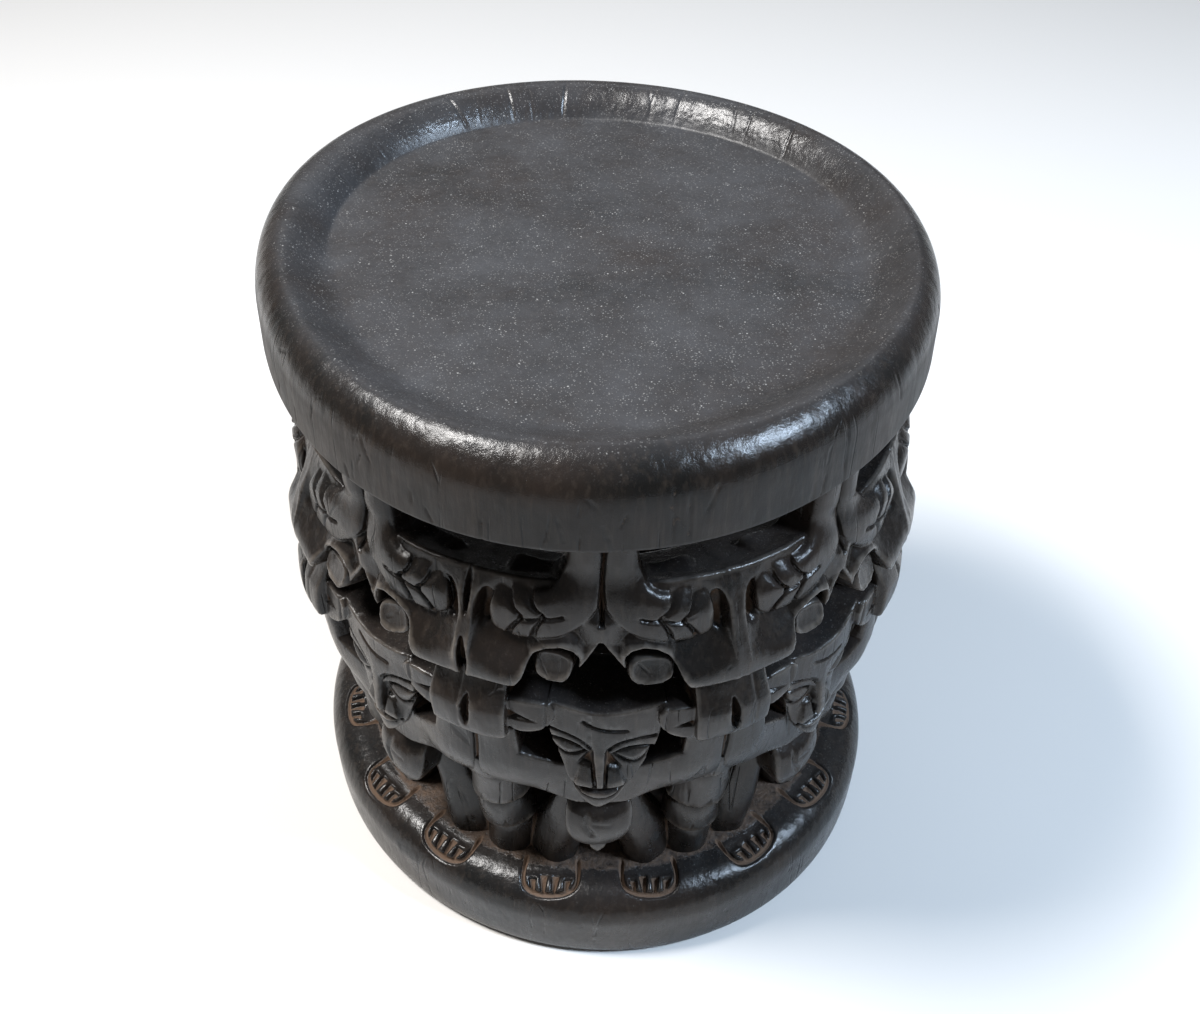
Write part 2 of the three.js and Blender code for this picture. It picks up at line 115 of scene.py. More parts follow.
def soften(points, times=2, closed=True):
    """Cuts the corners of a line again and again until it runs in curves."""
    line = np.array(points, float)
    for _ in range(times):
        following = np.roll(line, -1, axis=0)
        near = 0.75 * line + 0.25 * following
        far = 0.25 * line + 0.75 * following
        cut = np.stack([near, far], axis=1).reshape(-1, 2)
        line = cut if closed else np.vstack([line[:1], cut[:-2], line[-1:]])
    return [tuple(point) for point in line]


def curve(points):
    """An open line with its corners rounded off."""
    return soften(points, 2, closed=False)


def segment_distance(x, z, start, end):
    run_x, run_z = end[0] - start[0], end[1] - start[1]
    from_x, from_z = x - start[0], z - start[1]
    length = max(run_x ** 2 + run_z ** 2, 1e-9)
    t = np.clip((from_x * run_x + from_z * run_z) / length, 0, 1)
    return np.hypot(from_x - run_x * t, from_z - run_z * t)


def line_distance(x, z, points):
    """Distance to an open line."""
    return np.minimum.reduce([segment_distance(x, z, a, b) for a, b in zip(points, points[1:])])


def outline_distance(x, z, points):
    """Signed distance to a closed outline, negative inside."""
    inside = np.zeros(np.broadcast(x, z).shape, bool)
    best = np.full(inside.shape, 1e9)
    for a, b in zip(points, points[1:] + points[:1]):
        best = np.minimum(best, segment_distance(x, z, a, b))
        if a[1] != b[1]:
            crossing = a[0] + (z - a[1]) / (b[1] - a[1]) * (b[0] - a[0])
            inside ^= ((a[1] > z) != (b[1] > z)) & (x < crossing)
    return np.where(inside, -best, best)


def turned(x, z, centre, lean):
    """Places as seen from a centre, turned by a lean."""
    cos, sin = math.cos(lean), math.sin(lean)
    u = (x - centre[0]) * cos + (z - centre[1]) * sin
    v = (z - centre[1]) * cos - (x - centre[0]) * sin
    return u, v


def ellipse_distance(x, z, centre, half_width, half_height, lean=0.0):
    """Roughly the signed distance to an ellipse."""
    u, v = turned(x, z, centre, lean)
    return (np.hypot(u / half_width, v / half_height) - 1) * min(half_width, half_height)


def rounded_square(x, z, centre, half_width, half_height, lean=0.0):
    """Roughly the signed distance to a shape between a circle and a square."""
    u, v = turned(x, z, centre, lean)
    size = (np.abs(u / half_width) ** 3 + np.abs(v / half_height) ** 3) ** (1 / 3)
    return (size - 1) * min(half_width, half_height)


def groove(distance, half_width, depth, sharpness=1.0):
    """Depth of a V-shaped cut at a distance from its middle line."""
    return depth * np.clip(1 - distance / half_width, 0, 1) ** sharpness


class Ring:
    """One tier of the wall as a field of distances, by arc length, height and distance from the axis."""

    def __init__(self, low, high):
        per_figure = round(UNIT / CELL)
        self.columns = FIGURES * per_figure
        self.step = FIGURES * UNIT / self.columns
        self.z = np.arange(low - 2 * CELL, high + 2 * CELL, CELL)
        self.r = np.arange(WALL_INSIDE - DEPTH_CELL, WALL_OUTSIDE + DEPTH_CELL, DEPTH_CELL)
        shape = (self.columns, len(self.z), len(self.r))
        self.field = np.full(shape, FAR, np.float32)


class Patch:
    """A window of the wall round one figure, with the carver's hand as a shift, size and lean.

    Its x runs along the wall from the figure's middle line, z is the height and r the distance
    from the wall's axis.
    """

    def __init__(self, ring, figure, reach, low, high, shift=(0, 0), size=1.0, lean=0.0, middle=(0, 0)):
        centre = figure * UNIT / ring.step
        first = math.floor(centre + reach[0] / ring.step)
        last = math.ceil(centre + reach[1] / ring.step)
        raw = np.arange(first, last + 1)
        rows = np.flatnonzero((ring.z >= low) & (ring.z <= high))
        self.ring = ring
        self.index = np.ix_(raw % ring.columns, rows)
        x = ((raw - centre) * ring.step)[:, None] + 0 * ring.z[rows][None, :]
        z = 0 * x + ring.z[rows][None, :]
        u = (x - middle[0] - shift[0]) / size
        v = (z - middle[1] - shift[1]) / size
        self.x = middle[0] + u * math.cos(lean) + v * math.sin(lean)
        self.z = middle[1] + v * math.cos(lean) - u * math.sin(lean)
        self.r = ring.r[None, None, :]

    def body(self, limits, edge):
        """The solid inside all the limits, with rounded edges between them."""
        whole = None
        for limit in limits:
            solid = limit if limit.ndim == 3 else limit[:, :, None]
            whole = solid if whole is None else smooth_max(whole, solid, edge)
        return whole

    def add(self, *limits, edge=1.6, blend=1.2):
        field = self.ring.field
        field[self.index] = smooth_min(field[self.index], self.body(limits, edge), blend)

    def cut(self, *limits, edge=1.0, blend=0.8):
        field = self.ring.field
        field[self.index] = smooth_max(field[self.index], -self.body(limits, edge), blend)

    def below(self, surface):
        """Deeper than a surface that is given over the patch or as one number."""
        return self.r - (surface[:, :, None] if isinstance(surface, np.ndarray) else surface)

    def beyond(self, surface):
        return -self.below(surface)


def profile(z, points):
    """A front surface's distance from the axis at each height, along a softened line."""
    return read_off(sorted(curve(points)), z)


def scale_edge(x, z, line, depth, width):
    """Depth of a step beside a line that runs downwards: sheer on the inner side, easing off outwards."""
    upwards = [(height, place) for place, height in reversed(line)]
    lowest, highest = upwards[0][0], upwards[-1][0]
    off = x - read_off(upwards, z)
    within = ease(lowest - 1.5, lowest + 1, z) * ease(highest + 1.5, highest - 1, z)
    falloff = np.where(off > 0, np.clip(1 - off / width, 0, 1) ** 1.3, np.clip(1 + off / 0.9, 0, 1))
    return depth * falloff * within


def paw_outline(width, tip):
    """One limb with its paw, from the seam outwards."""
    return soften([
        (0.5, 366), (0.5, 320), (0.7, 297.5), (5, 290.5), (12, 282), (22, 275.6), (36, 273),
        (tip - 9, 272.8), (tip - 1, 276.5), (tip, 287), (tip - 1, 298), (tip - 6, 304.5),
        (42, 303.6), (31, 301.8), (23, 304.5), (19.5, 312), (width, 326), (width - 1, 366),
    ], 2)


def belt(ring, figure):
    """The ring of rounded masses, with a keeled lip over each head and sockets for the knobs."""
    p = Patch(ring, figure, (-HALF - 3, HALF + 3), 236, 316)
    side = np.abs(p.x)
    swelling = ease(14, 36, side)
    mass = profile(p.z, [
        (240, 175), (245, 176.5), (250, 178), (261, 177.5), (276, 171.5), (292, 165), (308, 159),
    ])
    ground = profile(p.z, [(240, 160), (258, 163), (272, 165), (290, 162), (308, 157)])
    front = ground + (mass - ground) * swelling
    beside = outline_distance(side, p.z, paw_outline(17.5, 56))
    front = smooth_min(front, 162.5 + 0.8 * beside.clip(-1, None), 3.0)
    keel = ease(295, 286, p.z) * ease(17, 11, side - 0.35 * positive(p.z - 268))
    front += keel * (168.0 - 0.34 * side - front)
    lower = mirror([
        (0, 275), (11.6, 257.2), (11, 262), (11.4, 266.5), (14, 270.8), (19.5, 273), (26, 271.4),
        (31.6, 266.6), (35.4, 259.5), (37.6, 253), (40.5, 247.5), (44, 246.4), (HALF, 246.4),
        (HALF + 6, 246.4), (HALF + 6, 320), (0, 320),
    ])
    mask = outline_distance(p.x, p.z, lower)
    lip = 170.5 - 0.3 * positive(12 - side) - 1.1 * positive(-mask - 1.0)
    front = np.where(p.z < 284, np.maximum(front, lip), front)
    rim = (p.z[:, :, None] - (307 - 0.42 * positive(160 - p.r))) * 0.93
    p.add(mask, p.below(front), p.beyond(126.0), rim, edge=1.5, blend=1.0)


def lens_slots(ring, figure, hand, slots):
    """Lens-shaped slots down the middle line of each mass and collar: place, floor and half width."""
    lean = slip(hand, 0.03)
    p = Patch(ring, figure, (HALF - 12, HALF + 12), 196, 322, lean=lean, middle=(HALF, 260))
    x = p.x - HALF
    for (height, half_length), floor, half_width in slots:
        height = height + slip(hand, 1.5)
        half_length = half_length + slip(hand, 1)
        slant = slip(hand, 0.35)
        along = np.clip(1 - ((p.z - height) / half_length) ** 2, 0, 1)
        lens = np.where(along > 0, -half_width * along ** 0.8, 2.0)
        wander = x[:, :, None] + slant * (p.r - floor - 9)
        beside = np.abs(wander) + lens[:, :, None] + 0.2 * (floor + 9 - p.r)
        p.cut(beside, p.beyond(floor), edge=0.5, blend=0.6)


# Where each toe of a paw lies over the next one, from the top down
TOE_LINES = [
    [(33.5, 312), (34.6, 303), (33.6, 296), (27, 290.4), (31.5, 284), (33.8, 277), (34.2, 266)],
    [(46.5, 312), (46.4, 302), (44.4, 294.5), (38.2, 288.2), (43, 282), (46, 276), (46.4, 266)],
]


def limb(ring, figure, side, hand):
    """A bent limb with its three-toed paw, whose toes overlap like scales."""
    shift = (slip(hand, 0.8), slip(hand, 1))
    p = Patch(ring, figure, (-66, 66), 262, 370, shift=shift)
    x = side * p.x
    width = 17.5 + hand.uniform(-1, 1.5)
    tip = 56 + hand.uniform(-2.5, 2)
    mask = outline_distance(x, p.z, paw_outline(width, tip))
    across = np.clip((x - width / 2) / (width / 2), -1.3, 1.3)
    leg_front = 162.5 - 3.2 * across ** 2 - 0.03 * positive(p.z - 300)
    paw_front = 168.5 - 0.0035 * (x - 34) ** 2 - 0.012 * positive(p.z - 288) ** 2
    paw_front -= 0.012 * positive(281 - p.z) ** 2
    front = leg_front + (paw_front - leg_front) * ease(320, 299, p.z + 0.3 * positive(x - 20))
    spread = (tip - 12) / 44
    for line in TOE_LINES:
        line = soften([(px * spread, pz) for px, pz in line], 1, closed=False)
        width_here = 2.6 + 3.6 * ease(288, 303, p.z)
        front -= scale_edge(x, p.z, line, 3.8, width_here)
        apex = min(line)
        tail = [apex, (apex[0] - 4, apex[1] + 0.4), (apex[0] - 8.5, apex[1] + 1.8)]
        front -= groove(line_distance(x, p.z, tail), 1.4, 2.8, 0.8)
    p.add(mask, p.below(front), p.beyond(140.0), edge=2.6, blend=0.8)


def paw_recess(ring, figure, side, hand):
    """The hollow that sets the tip of a paw free from the mass beside it."""
    depth = hand.choice([4.0, 8.0, 11.0, 13.0])
    p = Patch(ring, figure, (-72, 72), 266, 318)
    oval = ellipse_distance(side * p.x, p.z, (57.3, 287.0), 5.0, 12.5, 0.08)
    bevel = oval[:, :, None] + 0.22 * (164 - p.r)
    p.cut(bevel, p.beyond(168.0 - depth), edge=1.6, blend=1.2)


def seam(ring, figure):
    """The cut between the two limbs of a figure, down to the keel."""
    p = Patch(ring, figure, (-6, 6), 286, 370)
    depth = 5 * ease(287, 296, p.z)
    cut = np.abs(p.x)[:, :, None] - 0.28 * positive(p.r - 162 + depth[:, :, None]) - 0.25
    p.cut(cut, p.beyond(155.0), edge=0.5, blend=0.5)


# The two knobs of the front figure: offset, height, half width, half height and lean
KNOBS_IN_FRONT = {-1: (23.2, 258.2, 9.1, 8.4, 0.12), 1: (23.8, 255.9, 11.3, 7.6, -0.06)}


def knob(ring, figure, side, hand):
    """A stub with a flat, slightly hollow face, tilted up, standing in its socket."""
    middle, height = 23.5 + slip(hand, 0.7), 257.0 + slip(hand, 1.2)
    half_width, half_height = 9.9 + hand.uniform(-0.9, 1.2), 8.0 + slip(hand, 0.5)
    lean = slip(hand, 0.3)
    if figure == 0:
        middle, height, half_width, half_height, lean = KNOBS_IN_FRONT[side]
    p = Patch(ring, figure, (-42, 42), 236, 280)
    x = side * p.x
    mask = rounded_square(x, p.z, (middle, height), half_width, half_height, lean)
    front = 170.6 - 0.36 * (p.z - height) - 0.05 * (x - middle)
    front = front - 0.9 * ease(-1.2, -2.2, mask) - 1.0 * positive(mask + 0.9)
    tube = mask[:, :, None] + 0.2 * positive(p.r - 168) - 0.15 * (168 - p.r).clip(0, 8)
    p.add(tube, p.below(front), p.beyond(146.0), edge=0.6, blend=0.5)


def collar(ring, figure, hand):
    """The band under each mass, on the line between two figures."""
    p = Patch(ring, figure, (HALF - 28, HALF + 28), 194, 256)
    x = p.x - HALF
    front = profile(p.z, [(200, 176), (206, 178.4), (222, 178.4), (226, 176.5), (236, 171), (250, 164.5)])
    front -= 0.0035 * x ** 2
    half = 19.8 + slip(hand, 0.7)
    outline = [(-half, 254), (-half + 0.6, 203.5), (-8, 202), (8, 202), (half - 0.6, 203.5), (half, 254)]
    mask = outline_distance(x, p.z, outline)
    front -= groove(np.abs(x - slip(hand, 14)), 1.2, 0.9)
    p.add(mask, p.below(front), p.beyond(130.0), edge=1.6, blend=0.7)


# Lines of one half of the mask, as distance from its middle line and height, and the whole lips
BROW = [(4.4, 194.5), (7, 198.2), (11, 201.6), (18.5, 205), (28.5, 206.5)]
UPPER_LID = [(6.2, 191), (11.5, 195.3), (18.5, 197.8), (26.4, 198)]
LOWER_LID = [(6.2, 190.4), (11.6, 185.8), (17.3, 184), (23, 187.8), (26.4, 195)]
WING = [(3.2, 166.4), (12.2, 166.4), (13.6, 168.4), (11, 176), (8.6, 180), (4.2, 180)]
UPPER_LIP = [(-12.6, 165.6), (-6.5, 163.8), (0, 163.4), (6.5, 163.8), (12.6, 165.6)]
LOWER_LIP = [(-12.6, 164.8), (-7.5, 159.4), (0, 157.2), (7.5, 159.4), (12.6, 164.8)]


def eyes(front, side, z):
    """Cheeks sunk under the brows, and narrow eyes with heavy lids."""
    brow, lid, under = [curve(line) for line in (BROW, UPPER_LID, LOWER_LID)]
    cheek = 167.2 - 0.12 * positive(side - 8) + 0.07 * positive(178 - z)
    brow_height = read_off(brow, side)
    front += (cheek - front) * ease(0.2, -1.4, z - brow_height)

    lid_height = read_off(lid, side)
    ridge = ease(0, -1.2, z - brow_height) * ease(-0.6, 0.6, z - lid_height)
    ridge = ridge * ease(3, 5, side)
    front += ridge * (169.3 - 0.06 * side - front)
    front -= groove(line_distance(side, z, brow), 1.3, 2.6, 0.8)

    eye = outline_distance(side, z, lid + under[::-1])
    front -= 0.9 * ease(3.0, 0.0, eye) * (z < lid_height)
    ball = 165.4 + 3.4 * np.sqrt(np.clip(-eye / 6.0, 0, 1))
    front = np.where(eye < 0, ball, front)
    front -= groove(line_distance(side, z, lid), 1.2, 3.2, 0.8)
    front -= groove(line_distance(side, z, under), 1.1, 2.4, 0.9)
    return front


def nose(front, side, z):
    """A straight nose with flat wings, between two hollows beside the eyes."""
    hollow = outline_distance(side, z, [(3.2, 192), (5.6, 189.5), (8.4, 185), (11.4, 179), (3.2, 179)])
    front -= 3.8 * ease(1.0, -3.0, hollow)
    half = 3.1 - 1.0 * ease(194, 166, z) + 1.2 * ease(192, 199, z)
    wing = outline_distance(side, z, WING)
    wing_front = 171.4 - 0.12 * positive(side - 3) - 0.35 * positive(z - 171)
    front += ease(0.8, -0.8, wing) * np.maximum(wing_front - front, -0.4)
    gap = groove(np.abs(side - half - 0.6), 1.0, 2.2, 0.8) * ease(166, 168, z)
    front -= gap * (0.3 + 0.7 * ease(184, 174, z)) * ease(198, 192, z)
    ridge = 170.2 + 2.6 * ease(198, 172, z) - 0.03 * side ** 2
    strip = np.maximum(side - half, np.maximum(168.0 - z, z - 204))
    return front + ease(0.5, -0.6, strip) * positive(ridge - front)


def mouth(front, x, p):
    """A muzzle with a crescent of two lips, a little askew."""
    z = p.z - 0.09 * p.x
    upper, lower = curve(UPPER_LIP), curve(LOWER_LIP)
    lips = outline_distance(x, z, upper + lower[::-1])
    muzzle = 170.2 - 0.014 * x ** 2 - 0.02 * (158 - p.z)
    front = np.where(z < 165.4, muzzle, front)
    front = front + 1.3 * ease(0.2, -1.6, lips) - 0.8 * ease(3.0, 0.0, lips) * (lips > 0)
    front -= groove(line_distance(x, z, upper), 1.3, 3.6, 0.7)
    front -= groove(line_distance(x, z, lower), 1.0, 1.6, 0.9)
    return front


def face(p, tilt, skew, hand):
    """Front surface of a wedge-shaped mask, with a crease across the brow."""
    x = p.x + skew * (p.z - 166)
    z = p.z + tilt * p.x * ease(172, 184, p.z)
    side = np.abs(x)
    front = 170.0 - 0.003 * side ** 2 - 0.03 * positive(z - 205)
    front = mouth(nose(eyes(front, side, z), side, z), x, p)
    crease = [(-11.5, 216.2 + slip(hand, 1)), (-5.3, 212.4), (2.5, 210.6), (10.8, 210.9)]
    return front - groove(line_distance(p.x, p.z, curve(crease)), 1.2, 2.4, 0.9)


# Outline of the head's right half, outline of an ear, and the front head's lean, tilt, skew and shift
HEAD = [
    (0, 147.2), (2.4, 148.2), (6.6, 152), (11.9, 159.8), (17.6, 170.5), (22.8, 183.5), (26.2, 196.5),
    (27.9, 207.5), (29.2, 217), (30.2, 229), (0, 229),
]
LEAF = [(25, 227), (40, 228), (50.5, 226), (52, 217), (50.5, 207.5), (43.5, 202.8), (35, 206), (26, 213)]
HEAD_IN_FRONT = (-0.06, 0.1, 0.087, (1.4, 0.3))


def ear(p, side):
    """An ear like a split leaf."""
    x = side * p.x
    leaf = outline_distance(x, p.z, soften(LEAF, 1))
    front = 171.5 - 0.06 * (p.z - 214) - 0.004 * (x - 40) ** 2
    cleft = outline_distance(x, p.z, [(33.5, 214.6), (54, 220.5), (54, 211.5)])
    front -= 4.0 * ease(0.7, -2.4, cleft)
    front -= groove(np.abs(x - 29.4 - 0.08 * (p.z - 215)), 1.0, 1.6)
    p.add(leaf, p.below(front), p.beyond(150.0), edge=1.2, blend=0.5)


def head(ring, figure, hand):
    """A wedge-shaped head with a flat top, and an ear at each side."""
    lean, tilt, skew = slip(hand, 0.05), slip(hand, 0.06), slip(hand, 0.05)
    shift = (slip(hand, 1.6), slip(hand, 1))
    size = hand.uniform(0.99, 1.03)
    if figure == 0:
        lean, tilt, skew, shift = HEAD_IN_FRONT
    p = Patch(ring, figure, (-62, 62), 138, 244, shift=shift, size=size, lean=lean, middle=(0, 190))
    mask = outline_distance(p.x, p.z, mirror(HEAD))
    sag = 224.6 + 3.4 * (np.abs(p.x + 2) / 28).clip(0, 1.1) ** 1.6
    top = p.z[:, :, None] - sag[:, :, None] - 0.06 * positive(168 - p.r) + 0.5 * positive(p.r - 168.4)
    chin = 132 + 0.35 * positive(170 - p.z)
    flare = mask[:, :, None] + 0.22 * positive(p.r - 168)
    p.add(flare, top, p.below(face(p, tilt, skew, hand)), p.beyond(chin), edge=0.8, blend=0.5)
    for side in (-1, 1):
        ear(p, side)


def arms(ring, figure):
    """Elbows on the line between two figures and forearms running in behind the chin."""
    p = Patch(ring, figure, (-HALF - 3, HALF + 3), 112, 210)
    side = np.abs(p.x)
    outline = mirror([
        (0, 137), (14, 139.5), (27, 145), (40, 151.5), (52, 156), (HALF + 6, 157.5),
        (HALF + 6, 206), (44.5, 206), (42.5, 187), (33, 181), (24, 176), (0, 170),
    ])
    mask = outline_distance(p.x, p.z, outline)
    elbow = 171.8 - 0.008 * positive(180 - p.z) ** 2
    wrist = 163.5 - 0.03 * positive(p.z - 165)
    front = wrist + (elbow - wrist) * ease(16, 52, side)
    front -= groove(np.abs(side - HALF), 1.8, 3.6, 0.9)
    front -= groove(np.abs(side - HALF), 9, 1.6, 1.6)
    p.add(mask, p.below(front), p.beyond(132.0), edge=2.2, blend=0.8)
    trunk = outline_distance(side, p.z, [(-1, 116), (12, 116), (14, 160), (-1, 160)])
    p.add(trunk, p.below(149.0), p.beyond(134.0), edge=3.0, blend=2.0)


def hands(ring, figure, hand):
    """Clasped hands: a rounded block with a sloping flat top and a small point below."""
    shift = (slip(hand, 1), slip(hand, 1.5))
    p = Patch(ring, figure, (-28, 28), 80, 146, shift=shift)
    outline = soften(mirror([
        (0, 98.5), (8, 99.5), (15.5, 105), (19.6, 115), (19.8, 128), (17.5, 137), (0, 139),
    ]), 2)
    mask = outline_distance(p.x, p.z, outline)
    front = 167.5 - 0.010 * p.x ** 2 - 0.014 * (p.z - 116) ** 2
    front -= groove(line_distance(p.x, p.z, [(-6, 129), (-7.5, 120), (-4, 113)]), 2.6, 1.8)
    front -= groove(line_distance(p.x, p.z, [(-3, 122), (6, 121)]), 1.6, 0.6)
    slope = 0.74 * (p.z[:, :, None] - 129) + 0.67 * (p.r - 163.5)
    p.add(mask, p.below(front), p.beyond(146.0), slope, edge=1.8, blend=0.7)
    point = outline_distance(p.x, p.z, [(-6, 101), (-4, 93), (0.5, 87.5), (5, 93), (7, 101)])
    p.add(point, p.below(161.5), p.beyond(147.0), edge=1.6, blend=1.2)


def leg(ring, figure, side, hand):
    """A leg that thickens from under the arms to a bulging ankle on the base."""
    p = Patch(ring, figure, (-54, 54), 40, 156)
    z = p.z[:, :, None]
    rise = ease(58, 142, z)
    offset = 27.5 - 19.0 * ((z - 57) / 85).clip(0, 1) + slip(hand, 0.6)
    depth = 134.5 + 4.0 * rise
    radius = 15.0 - 5.0 * rise + 0.9 * np.sin((z - 52) / 16)
    x = side * p.x[:, :, None] * p.r / ARC_RADIUS
    tube = (np.hypot(x - offset, p.r - depth) - radius) * 0.96
    shin = (p.r - depth) * 0.84 + np.abs(x - offset + 1.5) * 0.54 - radius * 0.99
    p.add(smooth_max(tube, shin, 2.0), edge=1.0, blend=2.2)


def post(ring, figure, hand):
    """A round post that leans in towards its foot, in tiers that overlap like cups."""
    p = Patch(ring, figure, (HALF - 24, HALF + 24), 40, 172)
    feet = [151 + slip(hand, 1), 115 + slip(hand, 3), 85 + slip(hand, 3), 40]
    x = (p.x[:, :, None] - HALF) * p.r / ARC_RADIUS
    z = p.z[:, :, None]
    axis = 134.5 + 0.15 * (z - 54)
    level = z + slip(hand, 0.08) * x - 0.1 * (p.r - axis).clip(-18, 18)
    radius = 10.5 + 0 * level
    above = 176.0
    for foot in feet:
        drop = np.clip((above - level) / (above - foot), 0, 1)
        tier = ease(foot - 0.6, foot + 0.6, level)
        widest = 16.2 + 0.022 * (foot - 54)
        taper = 1.6 * (1 - drop) + 4.6 * (1 - drop) ** 8
        radius = np.maximum(radius, tier * (widest - taper) * (level < above + 0.5))
        above = foot
    p.add(np.hypot(x, p.r - axis) - radius, edge=1.0, blend=0.6)


def carve_belt(ring, figure, hand):
    belt(ring, figure)
    for side in (-1, 1):
        paw_recess(ring, figure, side, hand)
    for side in (-1, 1):
        limb(ring, figure, side, hand)
        knob(ring, figure, side, hand)
    seam(ring, figure)
    lens_slots(ring, figure, hand, [((299, 17), 158.0, 2.6), ((258, 13.5), 166.0, 2.5)])


def carve_heads(ring, figure, hand):
    arms(ring, figure)
    collar(ring, figure, hand)
    head(ring, figure, hand)
    lens_slots(ring, figure, hand, [((220, 12.5), 168.0, 2.7)])


def carve_legs(ring, figure, hand):
    for side in (-1, 1):
        leg(ring, figure, side, hand)
    post(ring, figure, hand)
    hands(ring, figure, hand)


# Name of each tier, its lowest and highest level, and what is carved in it
TIERS = [
    ("belt_and_limbs", 236, 362, carve_belt),
    ("heads_and_arms", 140, 262, carve_heads),
    ("legs_and_posts", 44, 176, carve_legs),
]


def carve(low, high, carve_figure):
    """One tier with all eight figures, each with its own small differences."""
    ring = Ring(low, high)
    for figure in range(FIGURES):
        carve_figure(ring, figure, np.random.default_rng(SEED + figure))
    for margin in (np.s_[:, :2], np.s_[:, -2:], np.s_[:, :, 0], np.s_[:, :, -1]):
        ring.field[margin] = FAR
    return ring


def box_blur(volume, reach):
    """Mean over a cube of neighbours."""
    for axis in range(3):
        pad = [(0, 0)] * 3
        pad[axis] = (reach + 1, reach)
        sums = np.cumsum(np.pad(volume, pad, mode="edge"), axis=axis, dtype=np.float64)
        length = volume.shape[axis]
        high = np.take(sums, range(2 * reach + 1, 2 * reach + 1 + length), axis=axis)
        low = np.take(sums, range(length), axis=axis)
        volume = ((high - low) / (2 * reach + 1)).astype(np.float32)
    return volume


# The corners of a cell of a grid
CORNERS = [(a, b, c) for a in (0, 1) for b in (0, 1) for c in (0, 1)]


def sample(volume, at):
    """Values of a volume at fractional grid places."""
    base = np.floor(at).astype(int)
    part = at - base
    total = np.zeros(len(at))
    for corner in CORNERS:
        step = np.array(corner[::-1])
        share = np.prod(np.where(step, part, 1 - part), axis=1)
        index = (base + step).clip(0, np.array(volume.shape) - 1)
        total += share * volume[index[:, 0], index[:, 1], index[:, 2]]
    return total


def surface_places(field, cells):
    """The mean of the places where the surface crosses the edges of each cell."""
    columns = field.shape[0]
    values = {}
    for a, b, c in CORNERS:
        values[a, b, c] = field[(cells[:, 0] + a) % columns, cells[:, 1] + b, cells[:, 2] + c].astype(float)
    total = np.zeros((len(cells), 3))
    crossings = np.zeros(len(cells))
    for axis in range(3):
        for start in CORNERS:
            if start[axis]:
                continue
            end = tuple(1 if i == axis else value for i, value in enumerate(start))
            low, high = values[start], values[end]
            crossed = (low < 0) != (high < 0)
            gap = np.where(crossed, low - high, 1)
            place = np.tile(np.array(start, float), (len(cells), 1))
            place[:, axis] = low / gap
            total += place * crossed[:, None]
            crossings += crossed
    return cells + total / crossings[:, None]


def surface_quads(inside, number):
    """One quad round each edge of the grid that the surface crosses, facing outwards."""
    columns, rows, layers = number.shape
    quads = []
    for axis in range(3):
        changed = inside != np.roll(inside, -1, axis=axis)
        if axis:
            changed[(slice(None),) * axis + (-1,)] = False
        edges = np.argwhere(changed)
        others = [i for i in range(3) if i != axis]
        around = []
        for da, db in ((-1, -1), (0, -1), (0, 0), (-1, 0)):
            cell = edges.copy()
            cell[:, others[0]] += da
            cell[:, others[1]] += db
            cell[:, 0] %= columns
            around.append(number[cell[:, 0], cell[:, 1].clip(0, rows - 1), cell[:, 2].clip(0, layers - 1)])
        quad = np.stack(around, axis=1)
        outward = inside[tuple(edges.T)] ^ (axis == 1)
        quads.append(np.where(outward[:, None], quad, quad[:, ::-1]))
    return np.vstack(quads)


def surface(field):
    """Points and quads where a field that closes in a ring along its first axis changes sign."""
    columns, rows, layers = field.shape
    inside = field < 0
    following = np.roll(inside, -1, axis=0)
    count = np.zeros((columns, rows - 1, layers - 1), np.int8)
    for a, b, c in CORNERS:
        source = following if a else inside
        count += source[:, b:rows - 1 + b, c:layers - 1 + c]
    cells = np.argwhere((count > 0) & (count < len(CORNERS)))
    number = np.full(count.shape, -1, np.int64)
    number[tuple(cells.T)] = np.arange(len(cells))
    return surface_places(field, cells), surface_quads(inside, number)


def drift(points, scale, amount, seed):
    """Slow wandering that makes repeated forms differ, as a sum of a few waves in space."""
    hand = np.random.default_rng(seed)
    moved = np.zeros_like(points)
    for _ in range(5):
        direction = hand.normal(size=3)
        direction *= 2 * math.pi / scale / np.linalg.norm(direction)
        phase = points @ direction + hand.uniform(0, 2 * math.pi)
        moved += np.sin(phase)[:, None] * hand.normal(size=3) * amount / 2.2
    return moved


def mesh_object(name, points, faces, attributes):
    """A smooth mesh from points in millimetres, whose attributes have a value at each point."""
    mesh = bpy.data.meshes.new(name)
    mesh.vertices.add(len(points))
    mesh.vertices.foreach_set("co", (points * MM).astype(np.float32).ravel())
    mixed = isinstance(faces, list)
    sizes = np.array([len(face) for face in faces]) if mixed else np.full(len(faces), faces.shape[1])
    corners = np.concatenate(faces) if mixed else faces.ravel()
    mesh.loops.add(len(corners))
    mesh.loops.foreach_set("vertex_index", corners.astype(np.int32))
    mesh.polygons.add(len(sizes))
    mesh.polygons.foreach_set("loop_start", (np.cumsum(sizes) - sizes).astype(np.int32))
    mesh.update(calc_edges=True)
    for key, values in attributes.items():
        layer = mesh.attributes.new(key, "FLOAT", "POINT")
        layer.data.foreach_set("value", values.astype(np.float32))
    mesh.shade_smooth()
    piece = bpy.data.objects.new(name, mesh)
    bpy.context.scene.collection.objects.link(piece)
    return piece


